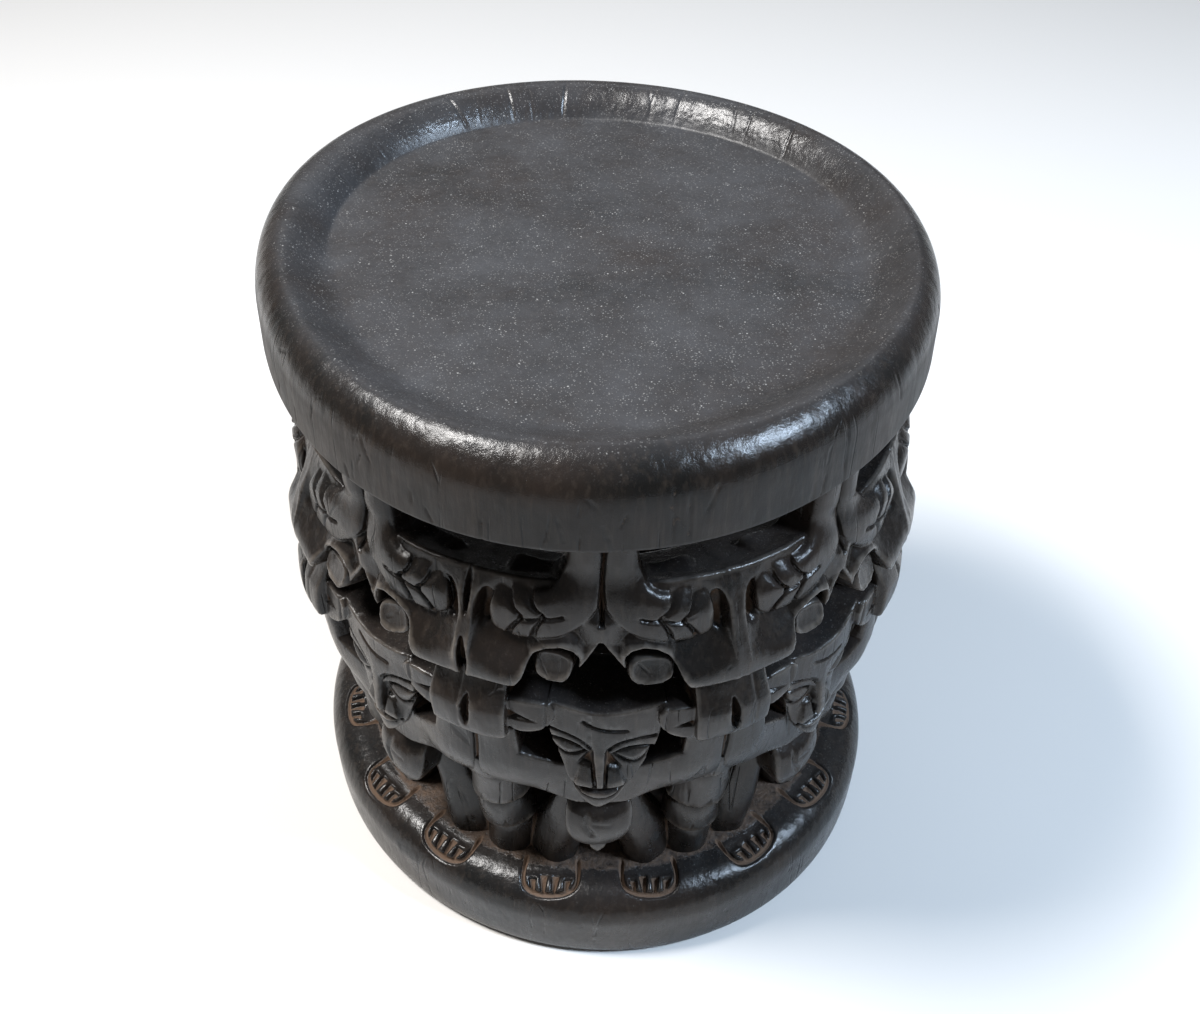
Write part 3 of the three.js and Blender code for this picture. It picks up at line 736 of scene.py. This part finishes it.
def thin_out(piece, triangles):
    """Collapses flat stretches until the mesh has about so many triangles."""
    mesh = piece.data
    now = sum(len(face.vertices) - 2 for face in mesh.polygons)
    if now <= triangles:
        return
    modifier = piece.modifiers.new("thin", "DECIMATE")
    modifier.ratio = triangles / now
    depsgraph = bpy.context.evaluated_depsgraph_get()
    thinned = bpy.data.meshes.new_from_object(piece.evaluated_get(depsgraph))
    piece.modifiers.clear()
    piece.data = thinned
    bpy.data.meshes.remove(mesh)


def in_world(x, z, r):
    """A place on the wall, given by arc length, height and distance from the axis."""
    angle = x / ARC_RADIUS + FIRST_FIGURE_TURN
    return np.stack([WALL_CENTRE[0] + r * np.sin(angle), WALL_CENTRE[1] - r * np.cos(angle), z], axis=-1)


class Crowding:
    """How much wood there is round any place, near by and further off: high in a recess, low on an edge."""

    def __init__(self, rings):
        self.cell = 2.0
        self.low = np.array([-196.0, -196.0, -10.0])
        size = np.array([392.0, 392.0, 420.0])
        shape = np.ceil(size / self.cell).astype(int)
        axes = [self.low[i] + self.cell * np.arange(shape[i]) for i in range(3)]
        x, y = axes[0][:, None], axes[1][None, :]
        angle = np.arctan2(x - WALL_CENTRE[0], WALL_CENTRE[1] - y) - FIRST_FIGURE_TURN
        radius = np.hypot(x - WALL_CENTRE[0], y - WALL_CENTRE[1])
        wood = np.zeros(shape, np.float32)
        for ring in rings:
            column = np.round(angle * ARC_RADIUS / ring.step).astype(int) % ring.columns
            layer = np.round((radius - ring.r[0]) / DEPTH_CELL).astype(int)
            within = (layer >= 0) & (layer < len(ring.r))
            for i, height in enumerate(axes[2]):
                row = round((height - ring.z[0]) / CELL)
                if 0 <= row < len(ring.z):
                    field = ring.field[column, row, layer.clip(0, len(ring.r) - 1)]
                    share = np.where(within, np.clip(0.5 - field / self.cell, 0, 1), 0)
                    wood[:, :, i] = np.maximum(wood[:, :, i], share)
        for levels, reach in ((axes[2] < BASE_TOP, 172), (axes[2] > UNDER_SEAT, 174)):
            wood[:, :, levels] = np.maximum(wood[:, :, levels], (radius < reach)[:, :, None])
        self.near = box_blur(wood, max(1, round(3.3 / self.cell)))
        self.wide = box_blur(wood, max(2, round(11 / self.cell)))

    def at(self, points):
        places = (points - self.low) / self.cell
        return {"near": sample(self.near, places), "wide": sample(self.wide, places)}


def wall_pieces():
    """The three tiers of the wall as meshes, with slow wandering over all of them."""
    rings = [carve(low, high, carve_figure) for _, low, high, carve_figure in TIERS]
    crowding = Crowding(rings)
    pieces = []
    for (name, _, _, _), ring in zip(TIERS, rings):
        places, quads = surface(ring.field)
        x = places[:, 0] * ring.step
        z = ring.z[0] + places[:, 1] * CELL
        r = ring.r[0] + places[:, 2] * DEPTH_CELL
        points = in_world(x, z, r)
        attributes = crowding.at(points)
        points += drift(points, 60, 0.5, SEED) + drift(points, 24, 0.22, SEED + 1)
        piece = mesh_object(name, points, quads, attributes)
        thin_out(piece, TRIANGLES)
        pieces.append(piece)
    return pieces


def evenly(line, gap):
    """Points at even distances along a line."""
    line = np.array(line, float)
    run = np.concatenate([[0], np.cumsum(np.hypot(*np.diff(line, axis=0).T))])
    steps = np.linspace(0, run[-1], max(2, math.ceil(run[-1] / gap) + 1))
    return np.stack([np.interp(steps, run, line[:, 0]), np.interp(steps, run, line[:, 1])], axis=1)


def quarter(centre, radius, start, stop, steps=16):
    """Points along an arc, from one angle in degrees to another."""
    angles = np.radians(np.linspace(start, stop, steps))
    return [(centre[0] + radius * math.cos(a), centre[1] + radius * math.sin(a)) for a in angles]


def disc_faces(count, columns):
    """Quads between the rings of a disc, and triangles to a point in the middle of each end."""
    here = np.arange(columns)
    there = (here + 1) % columns
    quads = []
    for row in range(count - 1):
        a, b = row * columns, (row + 1) * columns
        quads.append(np.stack([a + here, b + here, b + there, a + there], axis=1))
    top, bottom, last = count * columns, count * columns + 1, (count - 1) * columns
    caps = [(top, i, j) for i, j in zip(here, there)]
    caps += [(bottom, last + j, last + i) for i, j in zip(here, there)]
    return [tuple(face) for face in np.vstack(quads)] + caps


def disc(name, stretches, waves, centre, tilt, relief):
    """A closed turned disc from stretches of profile (points, gap).

    The relief function gives a height along the surface's normal, the attributes and a lift.
    """
    line = np.vstack([evenly(points, gap)[:-1] for points, gap in stretches] + [[stretches[-1][0][-1]]])
    angle = np.linspace(0, 2 * math.pi, DISC_COLUMNS, endpoint=False)
    tangent = np.gradient(line, axis=0)
    length = np.maximum(np.hypot(tangent[:, 0], tangent[:, 1]), 1e-9)
    normal = np.stack([-tangent[:, 1], tangent[:, 0]], axis=1) / length[:, None]
    rings, normal = line[1:-1], normal[1:-1]
    factor = 1 + sum(c * np.cos(n * angle) + s * np.sin(n * angle) for n, c, s in waves)
    radius = rings[:, :1] * factor
    x, y = radius * np.cos(angle), radius * np.sin(angle)
    z = rings[:, 1:] + tilt[0] * x + tilt[1] * y
    x, y = x + centre[0], y + centre[1]
    flat = 0 * x
    height, attributes, lift = relief(x, y, rings[:, :1] + flat, rings[:, 1:] + flat, angle + flat)
    x = x + height * (normal[:, :1] * np.cos(angle))
    y = y + height * (normal[:, :1] * np.sin(angle))
    z = z + lift + height * normal[:, 1:]
    points = np.stack([x, y, z], axis=-1).reshape(-1, 3)
    ends = [[centre[0], centre[1], z[0].mean()], [centre[0], centre[1], line[-1, 1]]]
    points = np.vstack([points, ends])
    values = {key: np.append(value.ravel(), [value[0, 0], value[-1, 0]]) for key, value in attributes.items()}
    piece = mesh_object(name, points, disc_faces(len(rings), DISC_COLUMNS), values)
    thin_out(piece, TRIANGLES * 4 // 5)
    return piece


def around_seat(angle, places):
    """A value given at some azimuths in degrees, joined smoothly round the seat."""
    known, values = np.array(places, float).T
    return np.interp(np.degrees(angle) % 360, known, values, period=360)


# Round the seat, azimuth from the right-hand side anticlockwise: where the floor of the dish ends,
# how wide its wall is, and the splits in the rim with their lowest and highest level
DISH_EDGE = [
    (0, 143), (25, 144.5), (60, 143.5), (110, 140), (150, 140), (180, 140), (230, 140), (270, 139),
    (310, 143), (340, 144),
]
DISH_WALL = [(0, 30), (25, 25), (45, 22), (150, 22), (175, 25), (200, 30), (235, 28), (290, 27), (330, 30)]
RIM_SPLITS = [
    (307, 352, 392), (269.5, 352, 362), (257, 352, 366), (263, 386, 396), (281, 360, 384), (283, 362, 380),
]
WALL_MM_PER_DEGREE, RIM_MM_PER_DEGREE = 2.5, 3.1


def dish_level(r, rise, steep):
    """Height of the dish's wall, steep at the back and soft in front, under the rim's crown."""
    soft = ease(-0.2, 1.0, rise)
    sheer = 1 - (1 - rise.clip(0, 1)) ** 2.1
    wall = soft + (sheer - soft) * steep
    past = positive(r - SEAT_RADIUS + RIM_ROUND)
    crown = HEIGHT - RIM_ROUND + np.sqrt(positive(RIM_ROUND ** 2 - past ** 2))
    return smooth_min(crown, DISH_FLOOR + (HEIGHT - DISH_FLOOR) * wall, 3.0)


def wall_cuts(r, rise, angle, hand):
    """Depth of the short cuts and the chatter that the tool left on the dish's wall."""
    degrees = np.degrees(angle) % 360
    cuts = 0 * r
    for _ in range(14):
        place = hand.uniform(34, 160)
        strength = hand.choice([0.4, 0.6, 1.3])
        away = np.abs(degrees - place - slip(hand, 3) * (rise - 0.5)) * WALL_MM_PER_DEGREE
        cuts = np.maximum(cuts, groove(away, 0.9, strength))
    chattered = ease(108, 122, degrees) * ease(168, 155, degrees)
    chattered = chattered + ease(38, 46, degrees) * ease(78, 68, degrees)
    shelf = 0.22 * np.sin(r * 2.9 + 2.5 * np.sin(angle * 23) + 1.5 * np.sin(angle * 51)) * chattered
    return cuts + positive(shelf)


def rim_splits(level, angle, hand):
    """Depth of the drying splits and the small nicks down the seat's side."""
    degrees = np.degrees(angle) % 360
    splits = 0 * level
    for place, low, high in RIM_SPLITS:
        wander = 1.2 * np.sin(level / 5 + place) * 0.35
        away = np.abs(degrees - place) * RIM_MM_PER_DEGREE + np.abs(wander)
        split = groove(away, 1.0, 1.0) * ease(low - 3, low, level)
        splits = np.maximum(splits, split * ease(high + 3, high, level))
    for _ in range(34):
        place, low = hand.uniform(0, 360), hand.uniform(354, 380)
        high = low + hand.uniform(3, 12)
        slant = slip(hand, 0.5)
        across = (degrees - place + 180) % 360 - 180
        away = np.abs(across * RIM_MM_PER_DEGREE - slant * (level - low))
        nick = groove(away, 0.9, 0.6) * ease(low - 2, low, level)
        splits = np.maximum(splits, nick * ease(high + 2, high, level))
    return splits


def seat_relief(x, y, r, level, angle):
    """The dish with cuts on its wall, splits in the rim, and where dirt and dust lie."""
    hand = np.random.default_rng(SEED + 50)
    top = level > 375
    edge, width = around_seat(angle, DISH_EDGE), around_seat(angle, DISH_WALL)
    rise = (r - edge) / width
    steep = ease(28, 23, width)
    lift = np.where(top & (r < SEAT_RADIUS - 2), dish_level(r, rise, steep) - level, 0)

    on_wall = ease(0.02, 0.15, rise) * ease(0.95, 0.55, rise) * top
    relief = -wall_cuts(r, rise, angle, hand) * on_wall
    outside = ease(SEAT_RADIUS - 9, SEAT_RADIUS - 3, r) * (level > UNDER_SEAT - 2) * (level < 396)
    splits = rim_splits(level, angle, hand)
    relief = relief - splits * outside

    dust = ease(174, 160, r) * top * (0.9 + 0.1 * ease(edge + 5, edge - 1, r))
    corner = ease(2.2, 0.3, np.abs(r - edge)) * steep * top
    thin = ease(1.1, 0.2, np.abs(r - edge - 0.5)) * (1 - steep) * top
    near = 0.5 + 0.13 * corner + 0.1 * thin + 0.3 * (splits > 0.2) * outside
    return relief, {"near": near, "wide": 0.5 + 0.15 * np.maximum(corner, thin), "dust": dust}, lift


def seat_piece():
    """The seat, turned with a flat top that the relief lowers to the dish."""
    side = SEAT_RADIUS
    shoulder = side - RIM_ROUND
    middle = [(0, HEIGHT), (120, HEIGHT)]
    outer = [(120, HEIGHT), (shoulder, HEIGHT)]
    edge = quarter((shoulder, HEIGHT - RIM_ROUND), RIM_ROUND, 90, 0)
    foot = (side - 1, UNDER_SEAT + 0.5)
    under = [(side, HEIGHT - RIM_ROUND), *quarter(foot, 1.8, 0, -90, 5), (0, foot[1] - 1.8)]
    fine, coarse = ((1.2, 5.0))
    stretches = [(middle, 3.5), (outer, 0.7 * fine), (edge, fine), (under[:-1], fine), (under[-2:], coarse)]
    return disc("seat", stretches, SEAT_WAVES, SEAT_CENTRE, SEAT_TILT, seat_relief)


# A foot from above: its outline as the place across and the distance from the axis, where its toes
# part, and how far along the wall its middle line is from the figure's
FOOT_GROOVE = curve([
    (-17.6, 149), (-17.8, 160), (-15.5, 166.8), (-8, 169.6), (0, 170), (8, 169.6), (15.5, 166.8),
    (17.8, 160), (17.6, 149),
])
TOE_GAPS = (-10.6, -3.6, 3.4, 10.4)
FOOT_OFFSET = 31.0


def foot_mark(u, v, hand):
    """Depth of one foot's outline and toe gaps, height of its toes and depth of its instep."""
    inside = outline_distance(u, v, FOOT_GROOVE)
    cut = 3.0 * ease(1.9, 0.5, line_distance(u, v, FOOT_GROOVE))
    toe_gap = np.full(u.shape, 9.0)
    for gap in TOE_GAPS:
        gap_x = gap + slip(hand, 0.5) - gap * 0.02 * (v - 164)
        start = 160.2 + 0.02 * gap ** 2 + slip(hand, 0.6)
        slot = np.abs(u - gap_x) - 0.5 + 0.16 * (v - 164.5)
        toe_gap = np.minimum(toe_gap, np.maximum(slot, positive(start - v) * 0.8))
    cut = np.maximum(cut, 2.8 * ease(1.7, 0.3, toe_gap) * (inside < 1))
    toes = ease(158.5, 161.5, v) * ease(0.5, -1.5, inside)
    bulge = toes * (0.9 - 0.5 * ease(2.6, 0.6, toe_gap))
    instep = 0.9 * ease(3.5, 0, np.abs(v - 156.5)) * ease(0, -3, inside)
    return cut, bulge, instep


def carved_feet(x, y, level):
    """Depth of the feet cut into the edge of the base, and how much of it is a dirty groove."""
    reach_x, reach_y = x - WALL_CENTRE[0], y - WALL_CENTRE[1]
    radius = np.hypot(reach_x, reach_y)
    around = np.arctan2(reach_x, -reach_y) - FIRST_FIGURE_TURN
    depth = 0 * x
    dirt = 0 * x
    for figure in range(FIGURES):
        for side in (-1, 1):
            hand = np.random.default_rng(SEED * 100 + 2 * figure + (side > 0))
            offset = side * (FOOT_OFFSET + slip(hand, 1)) / ARC_RADIUS
            middle = figure * 2 * math.pi / FIGURES + offset
            across = ((around - middle + math.pi) % (2 * math.pi) - math.pi) * ARC_RADIUS
            near = (np.abs(across) < 28) & (level > 20) & (radius > 126)
            turn = side * 0.08 + slip(hand, 0.06)
            u = across[near] + turn * (radius[near] - 160)
            v = radius[near] - turn * across[near] + slip(hand, 1)
            cut, bulge, instep = foot_mark(u, v, hand)
            before = depth[near]
            depth[near] = np.where(cut > 0.05, np.maximum(before, cut), before - bulge + instep)
            dirt[near] = np.maximum(dirt[near], cut / 3.0)
    return depth, dirt


def base_relief(x, y, r, level, angle):
    """The carved feet, and dirt in their grooves and inside the ring of feet."""
    depth, dirt = carved_feet(x, y, level)
    radius = np.hypot(x - WALL_CENTRE[0], y - WALL_CENTRE[1])
    trodden = ease(161, 150, radius) * (level > BASE_TOP - 6)
    near = 0.5 + 0.38 * dirt + 0.2 * trodden
    return -depth, {"near": near, "wide": 0.5 + 0.3 * dirt + 0.2 * trodden}, 0.0


def base_piece():
    """The base, turned flat below and with a rounded top edge."""
    side = BASE_RADIUS
    shoulder = side - BASE_ROUND
    top = [(0, BASE_TOP), (100, BASE_TOP)]
    walked = [(100, BASE_TOP), (140, BASE_TOP), (shoulder, BASE_TOP)]
    edge = quarter((shoulder, BASE_TOP - BASE_ROUND), BASE_ROUND, 90, 0)
    lower = curve([
        (side, BASE_TOP - BASE_ROUND), (side, 7), (side - 2, 2), (side - 7, 0), (side - 14, 0), (0, 0),
    ])
    fine, coarse = ((0.9, 5.0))
    stretches = [
        (top, coarse), (walked, 2 * fine), (edge, fine), (lower[:-1], 1.5 * fine), (lower[-2:], coarse),
    ]
    return disc("base", stretches, BASE_WAVES, BASE_CENTRE, (0, 0), base_relief)


class Shader:
    """A material's nodes, with short calls for the kinds that are used over and over."""

    def __init__(self, name):
        self.material = bpy.data.materials.new(name)
        self.material.use_nodes = True
        self.tree = self.material.node_tree
        self.surface = self.tree.nodes["Principled BSDF"]
        self.place = self.node("ShaderNodeTexCoord").outputs["Object"]

    def node(self, kind, links=(), **settings):
        node = self.tree.nodes.new(kind)
        for key, value in settings.items():
            setattr(node, key, value)
        for socket, value in dict(links).items():
            self.feed(node.inputs[socket], value)
        return node

    def feed(self, socket, value):
        if isinstance(value, bpy.types.NodeSocket):
            self.tree.links.new(value, socket)
        else:
            socket.default_value = value

    def attribute(self, name):
        return self.node("ShaderNodeAttribute", attribute_name=name).outputs["Fac"]

    def maths(self, operation, a, b, clamp=False):
        return self.node("ShaderNodeMath", {0: a, 1: b}, operation=operation, use_clamp=clamp).outputs[0]

    def times(self, a, b):
        return self.maths("MULTIPLY", a, b)

    def plus(self, a, b):
        return self.maths("ADD", a, b)

    def ramp(self, value, low, high, start=0.0, stop=1.0):
        """Value from low to high mapped to start to stop, and held beyond."""
        node = self.node("ShaderNodeMapRange", {"Value": value, "From Min": low, "From Max": high,
                                                "To Min": start, "To Max": stop}, clamp=True)
        return node.outputs["Result"]

    def upright(self, share):
        """Places that change less quickly upwards, so that a pattern is drawn out along the grain."""
        links = {"Vector": self.place, "Scale": (1, 1, share)}
        return self.node("ShaderNodeMapping", links).outputs["Vector"]

    def noise(self, size_mm, detail=3.0, rough=0.55, where=None):
        """Noise whose lumps are about so many millimetres across."""
        links = {"Vector": where or self.place, "Scale": 1000 / size_mm, "Detail": detail, "Roughness": rough}
        return self.node("ShaderNodeTexNoise", links).outputs["Fac"]

    def cells(self, size_mm, where=None, feature="F1"):
        """Distance from the points of a pattern of cells about so many millimetres across."""
        links = {"Vector": where or self.place, "Scale": 1000 / size_mm}
        return self.node("ShaderNodeTexVoronoi", links, feature=feature).outputs["Distance"]

    def mix(self, share, a, b):
        """Colour a where share is 0 and b where it is 1."""
        node = self.node("ShaderNodeMix", {0: share, 6: a, 7: b}, data_type="RGBA")
        return node.outputs[2]

    def bump(self, height, depth_mm, below=None):
        """A normal raised by a height, on top of another normal."""
        links = {"Height": height, "Distance": depth_mm * MM, "Strength": 1.0}
        if below:
            links["Normal"] = below
        return self.node("ShaderNodeBump", links).outputs["Normal"]


BLACK_WOOD = (0.006, 0.0055, 0.005, 1)
BROWN_WOOD = (0.018, 0.0125, 0.0095, 1)
WORN_WOOD = (0.045, 0.034, 0.026, 1)
# Paler colour on convex edges: partly rubbed wear, partly a painted highlight on the bevels
RUBBED_EDGE_AND_HIGHLIGHT = (0.13, 0.112, 0.095, 1)
DUST = (0.043, 0.0425, 0.0445, 1)
DIRT = (0.13, 0.083, 0.055, 1)
SPECK = (0.3, 0.29, 0.275, 1)


def bare_wood(s, near):
    """Colour of the wood: black to brown in patches, with paler grain, and convex edges made paler partly as
    rubbed wear and partly as a painted highlight.
    """
    patches = s.noise(45, 4, 0.6)
    grain = s.noise(3.2, 4, 0.6, where=s.upright(0.09))
    colour = s.mix(s.ramp(patches, 0.35, 0.7), BLACK_WOOD, BROWN_WOOD)
    colour = s.mix(s.times(s.ramp(grain, 0.5, 0.75), 0.4), colour, WORN_WOOD)
    # Painted highlight and wear: convex edges, where little wood lies round about, turned paler in patches
    edge = s.times(s.ramp(near, 0.4, 0.26), s.ramp(s.noise(6, 3), 0.3, 0.6, 0.25, 1.0))
    return s.mix(s.times(edge, 0.7), colour, RUBBED_EDGE_AND_HIGHLIGHT)


def dusted(s, colour, lying):
    """A film of dust where it can lie, with larger and finer specks in patches."""
    film = s.times(lying, s.ramp(s.noise(52, 6, 0.68), 0.33, 0.66, 0.35, 1.0))
    colour = s.mix(film, colour, DUST)
    crowd = s.times(lying, s.ramp(s.noise(12, 3, 0.6), 0.35, 0.62, 0.3, 1.0))
    patchy = s.times(crowd, s.ramp(s.noise(7, 2, 0.5), 0.4, 0.58, 0.3, 1.0))
    specks = s.times(s.ramp(s.cells(3.7), 0.14, 0.08), patchy)
    fine = s.times(s.ramp(s.cells(1.35), 0.27, 0.17), patchy)
    colour = s.mix(s.times(fine, 0.5), colour, SPECK)
    return s.mix(s.times(specks, 0.9), colour, SPECK)


def fine_splits(s, facing):
    """Thin dark splits up and down the grain, on upright faces only."""
    split = s.cells(16, where=s.upright(0.06), feature="DISTANCE_TO_EDGE")
    split = s.times(s.ramp(split, 0.03, 0.008), s.ramp(s.noise(38, 3, 0.6), 0.52, 0.6))
    return s.times(split, s.ramp(facing, 0.6, 0.3))


def polish(s, facing, lying, dirt, side_dullness):
    """Roughness: waxed, but duller under dust, in dirt and on upright faces."""
    rough = s.ramp(s.noise(14, 4, 0.65), 0.3, 0.75, 0.18, 0.3)
    rough = s.plus(rough, s.times(s.ramp(lying, 0.9, 1.0), 0.2))
    rough = s.plus(rough, s.times(s.ramp(facing, 0.35, 0.1), side_dullness))
    return s.maths("ADD", rough, s.times(dirt, 0.5), clamp=True)


def small_relief(s, dirt, split):
    """Normal with the knife's broad cuts, grain, pores, crusts of dirt and splits."""
    normal = s.bump(s.noise(9, 2, 0.5, where=s.upright(0.45)), 0.8)
    normal = s.bump(s.noise(1.6, 3, 0.6, where=s.upright(0.12)), 0.14, normal)
    normal = s.bump(s.noise(0.8, 3, 0.7), 0.1, normal)
    normal = s.bump(s.times(dirt, s.noise(1.4, 3, 0.8)), 0.9, normal)
    return s.bump(s.times(split, -1.0), 0.5, normal)


def dark_wood(name, side_dullness):
    """Blackened, waxed hardwood: edges paler partly from wear and partly from a painted highlight, brown dirt
    in the recesses and pale dust on top.
    """
    s = Shader(name)
    near, wide = s.attribute("near"), s.attribute("wide")
    facing = s.node("ShaderNodeSeparateXYZ", {0: s.node("ShaderNodeNewGeometry").outputs["Normal"]})
    facing = facing.outputs["Z"]
    lying = s.maths("MAXIMUM", s.times(s.ramp(facing, 0.5, 0.95), 0.25), s.attribute("dust"))
    colour = dusted(s, bare_wood(s, near), lying)

    hollow = s.times(s.ramp(near, 0.6, 0.8), s.ramp(wide, 0.42, 0.66))
    dirt = s.ramp(s.plus(hollow, s.times(s.noise(4, 4, 0.7), 0.8)), 0.72, 1.1)
    colour = s.mix(s.times(dirt, 0.8), colour, DIRT)
    split = fine_splits(s, facing)
    colour = s.mix(s.times(split, 0.85), colour, BLACK_WOOD)

    s.feed(s.surface.inputs["Base Color"], colour)
    s.feed(s.surface.inputs["Roughness"], polish(s, facing, lying, dirt, side_dullness))
    s.surface.inputs["Specular IOR Level"].default_value = 0.3
    s.feed(s.surface.inputs["Normal"], small_relief(s, dirt, split))
    return s.material


def make_stool():
    wood = dark_wood("dark_wood", 0.06)
    seat_wood = dark_wood("dark_wood_dusty", 0.3)
    seat = seat_piece()
    for piece in [seat, base_piece(), *wall_pieces()]:
        piece.data.materials.clear()
        piece.data.materials.append(seat_wood if piece == seat else wood)
        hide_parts("stool")
        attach(piece, "root")


def make_camera():
    """The photograph's viewpoint: above the seat's front, looking down at about 43 degrees."""
    position = Vector((2.9, -550.0, 718.2)) * MM
    pitch, yaw, roll = 0.74633, -0.00089, 0.01005
    focal_pixels, picture_width = 1257.59, 1200
    ahead = Vector((math.sin(yaw) * math.cos(pitch), math.cos(yaw) * math.cos(pitch), -math.sin(pitch)))
    right = Vector((math.cos(yaw), -math.sin(yaw), 0))
    up = right.cross(ahead)
    turned_right = math.cos(roll) * right + math.sin(roll) * up
    turned_up = math.cos(roll) * up - math.sin(roll) * right
    camera = bpy.data.cameras.new("camera")
    camera.sensor_width = 36
    camera.lens = focal_pixels * camera.sensor_width / picture_width
    camera.clip_start = 0.01
    holder = bpy.data.objects.new("camera", camera)
    turn = Matrix((turned_right, turned_up, -ahead)).transposed().to_4x4()
    holder.matrix_world = Matrix.Translation(position) @ turn
    bpy.context.scene.collection.objects.link(holder)
    bpy.context.scene.camera = holder


# Colours and brightness of the studio
FLOOR_COLOUR = (0.66, 0.645, 0.625, 1)
WARM_WHITE, SKY_BLUE, COOL_WHITE = (1, 0.98, 0.96), (0.64, 0.8, 1), (0.9, 0.94, 1)
ROOM_LIGHT = 0.14


def make_floor():
    bpy.ops.mesh.primitive_plane_add(size=8)
    floor = bpy.context.object
    floor.name = "floor"
    material = bpy.data.materials.new("floor")
    material.use_nodes = True
    shader = material.node_tree.nodes["Principled BSDF"]
    shader.inputs["Base Color"].default_value = FLOOR_COLOUR
    shader.inputs["Roughness"].default_value = 0.8
    floor.data.materials.append(material)


def area_light(name, place, size, power, colour, target=(0, 0, 0.25)):
    """A soft rectangular lamp at a place, turned to the middle of the stool."""
    light = bpy.data.lights.new(name, "AREA")
    light.shape = "RECTANGLE"
    light.size, light.size_y = size
    light.energy = power
    light.color = colour
    holder = bpy.data.objects.new(name, light)
    holder.location = place
    holder.rotation_euler = (Vector(target) - Vector(place)).to_track_quat("-Z", "Y").to_euler()
    bpy.context.scene.collection.objects.link(holder)


def toward(azimuth, elevation, distance):
    """A place seen from the stool in this direction: azimuth 0 in front, 90 to the right."""
    turn, rise = math.radians(azimuth), math.radians(elevation)
    return (distance * math.sin(turn) * math.cos(rise), -distance * math.cos(turn) * math.cos(rise),
            0.3 + distance * math.sin(rise))


def make_lights():
    area_light("key_left", toward(-86, 59, 2.2), (0.66, 0.56), 92, WARM_WHITE)
    area_light("window_right", toward(68, 43, 2.2), (0.42, 0.32), 66, SKY_BLUE)
    area_light("back", toward(180, 45, 2.4), (2.4, 0.7), 5, COOL_WHITE)
    world = bpy.data.worlds.new("studio")
    bpy.context.scene.world = world
    world.use_nodes = True
    background = world.node_tree.nodes["Background"]
    background.inputs["Color"].default_value = (1, 1, 1, 1)
    background.inputs["Strength"].default_value = ROOM_LIGHT
    bpy.context.scene.view_settings.view_transform = "Standard"


make_stool()
make_floor()
make_lights()
make_camera()
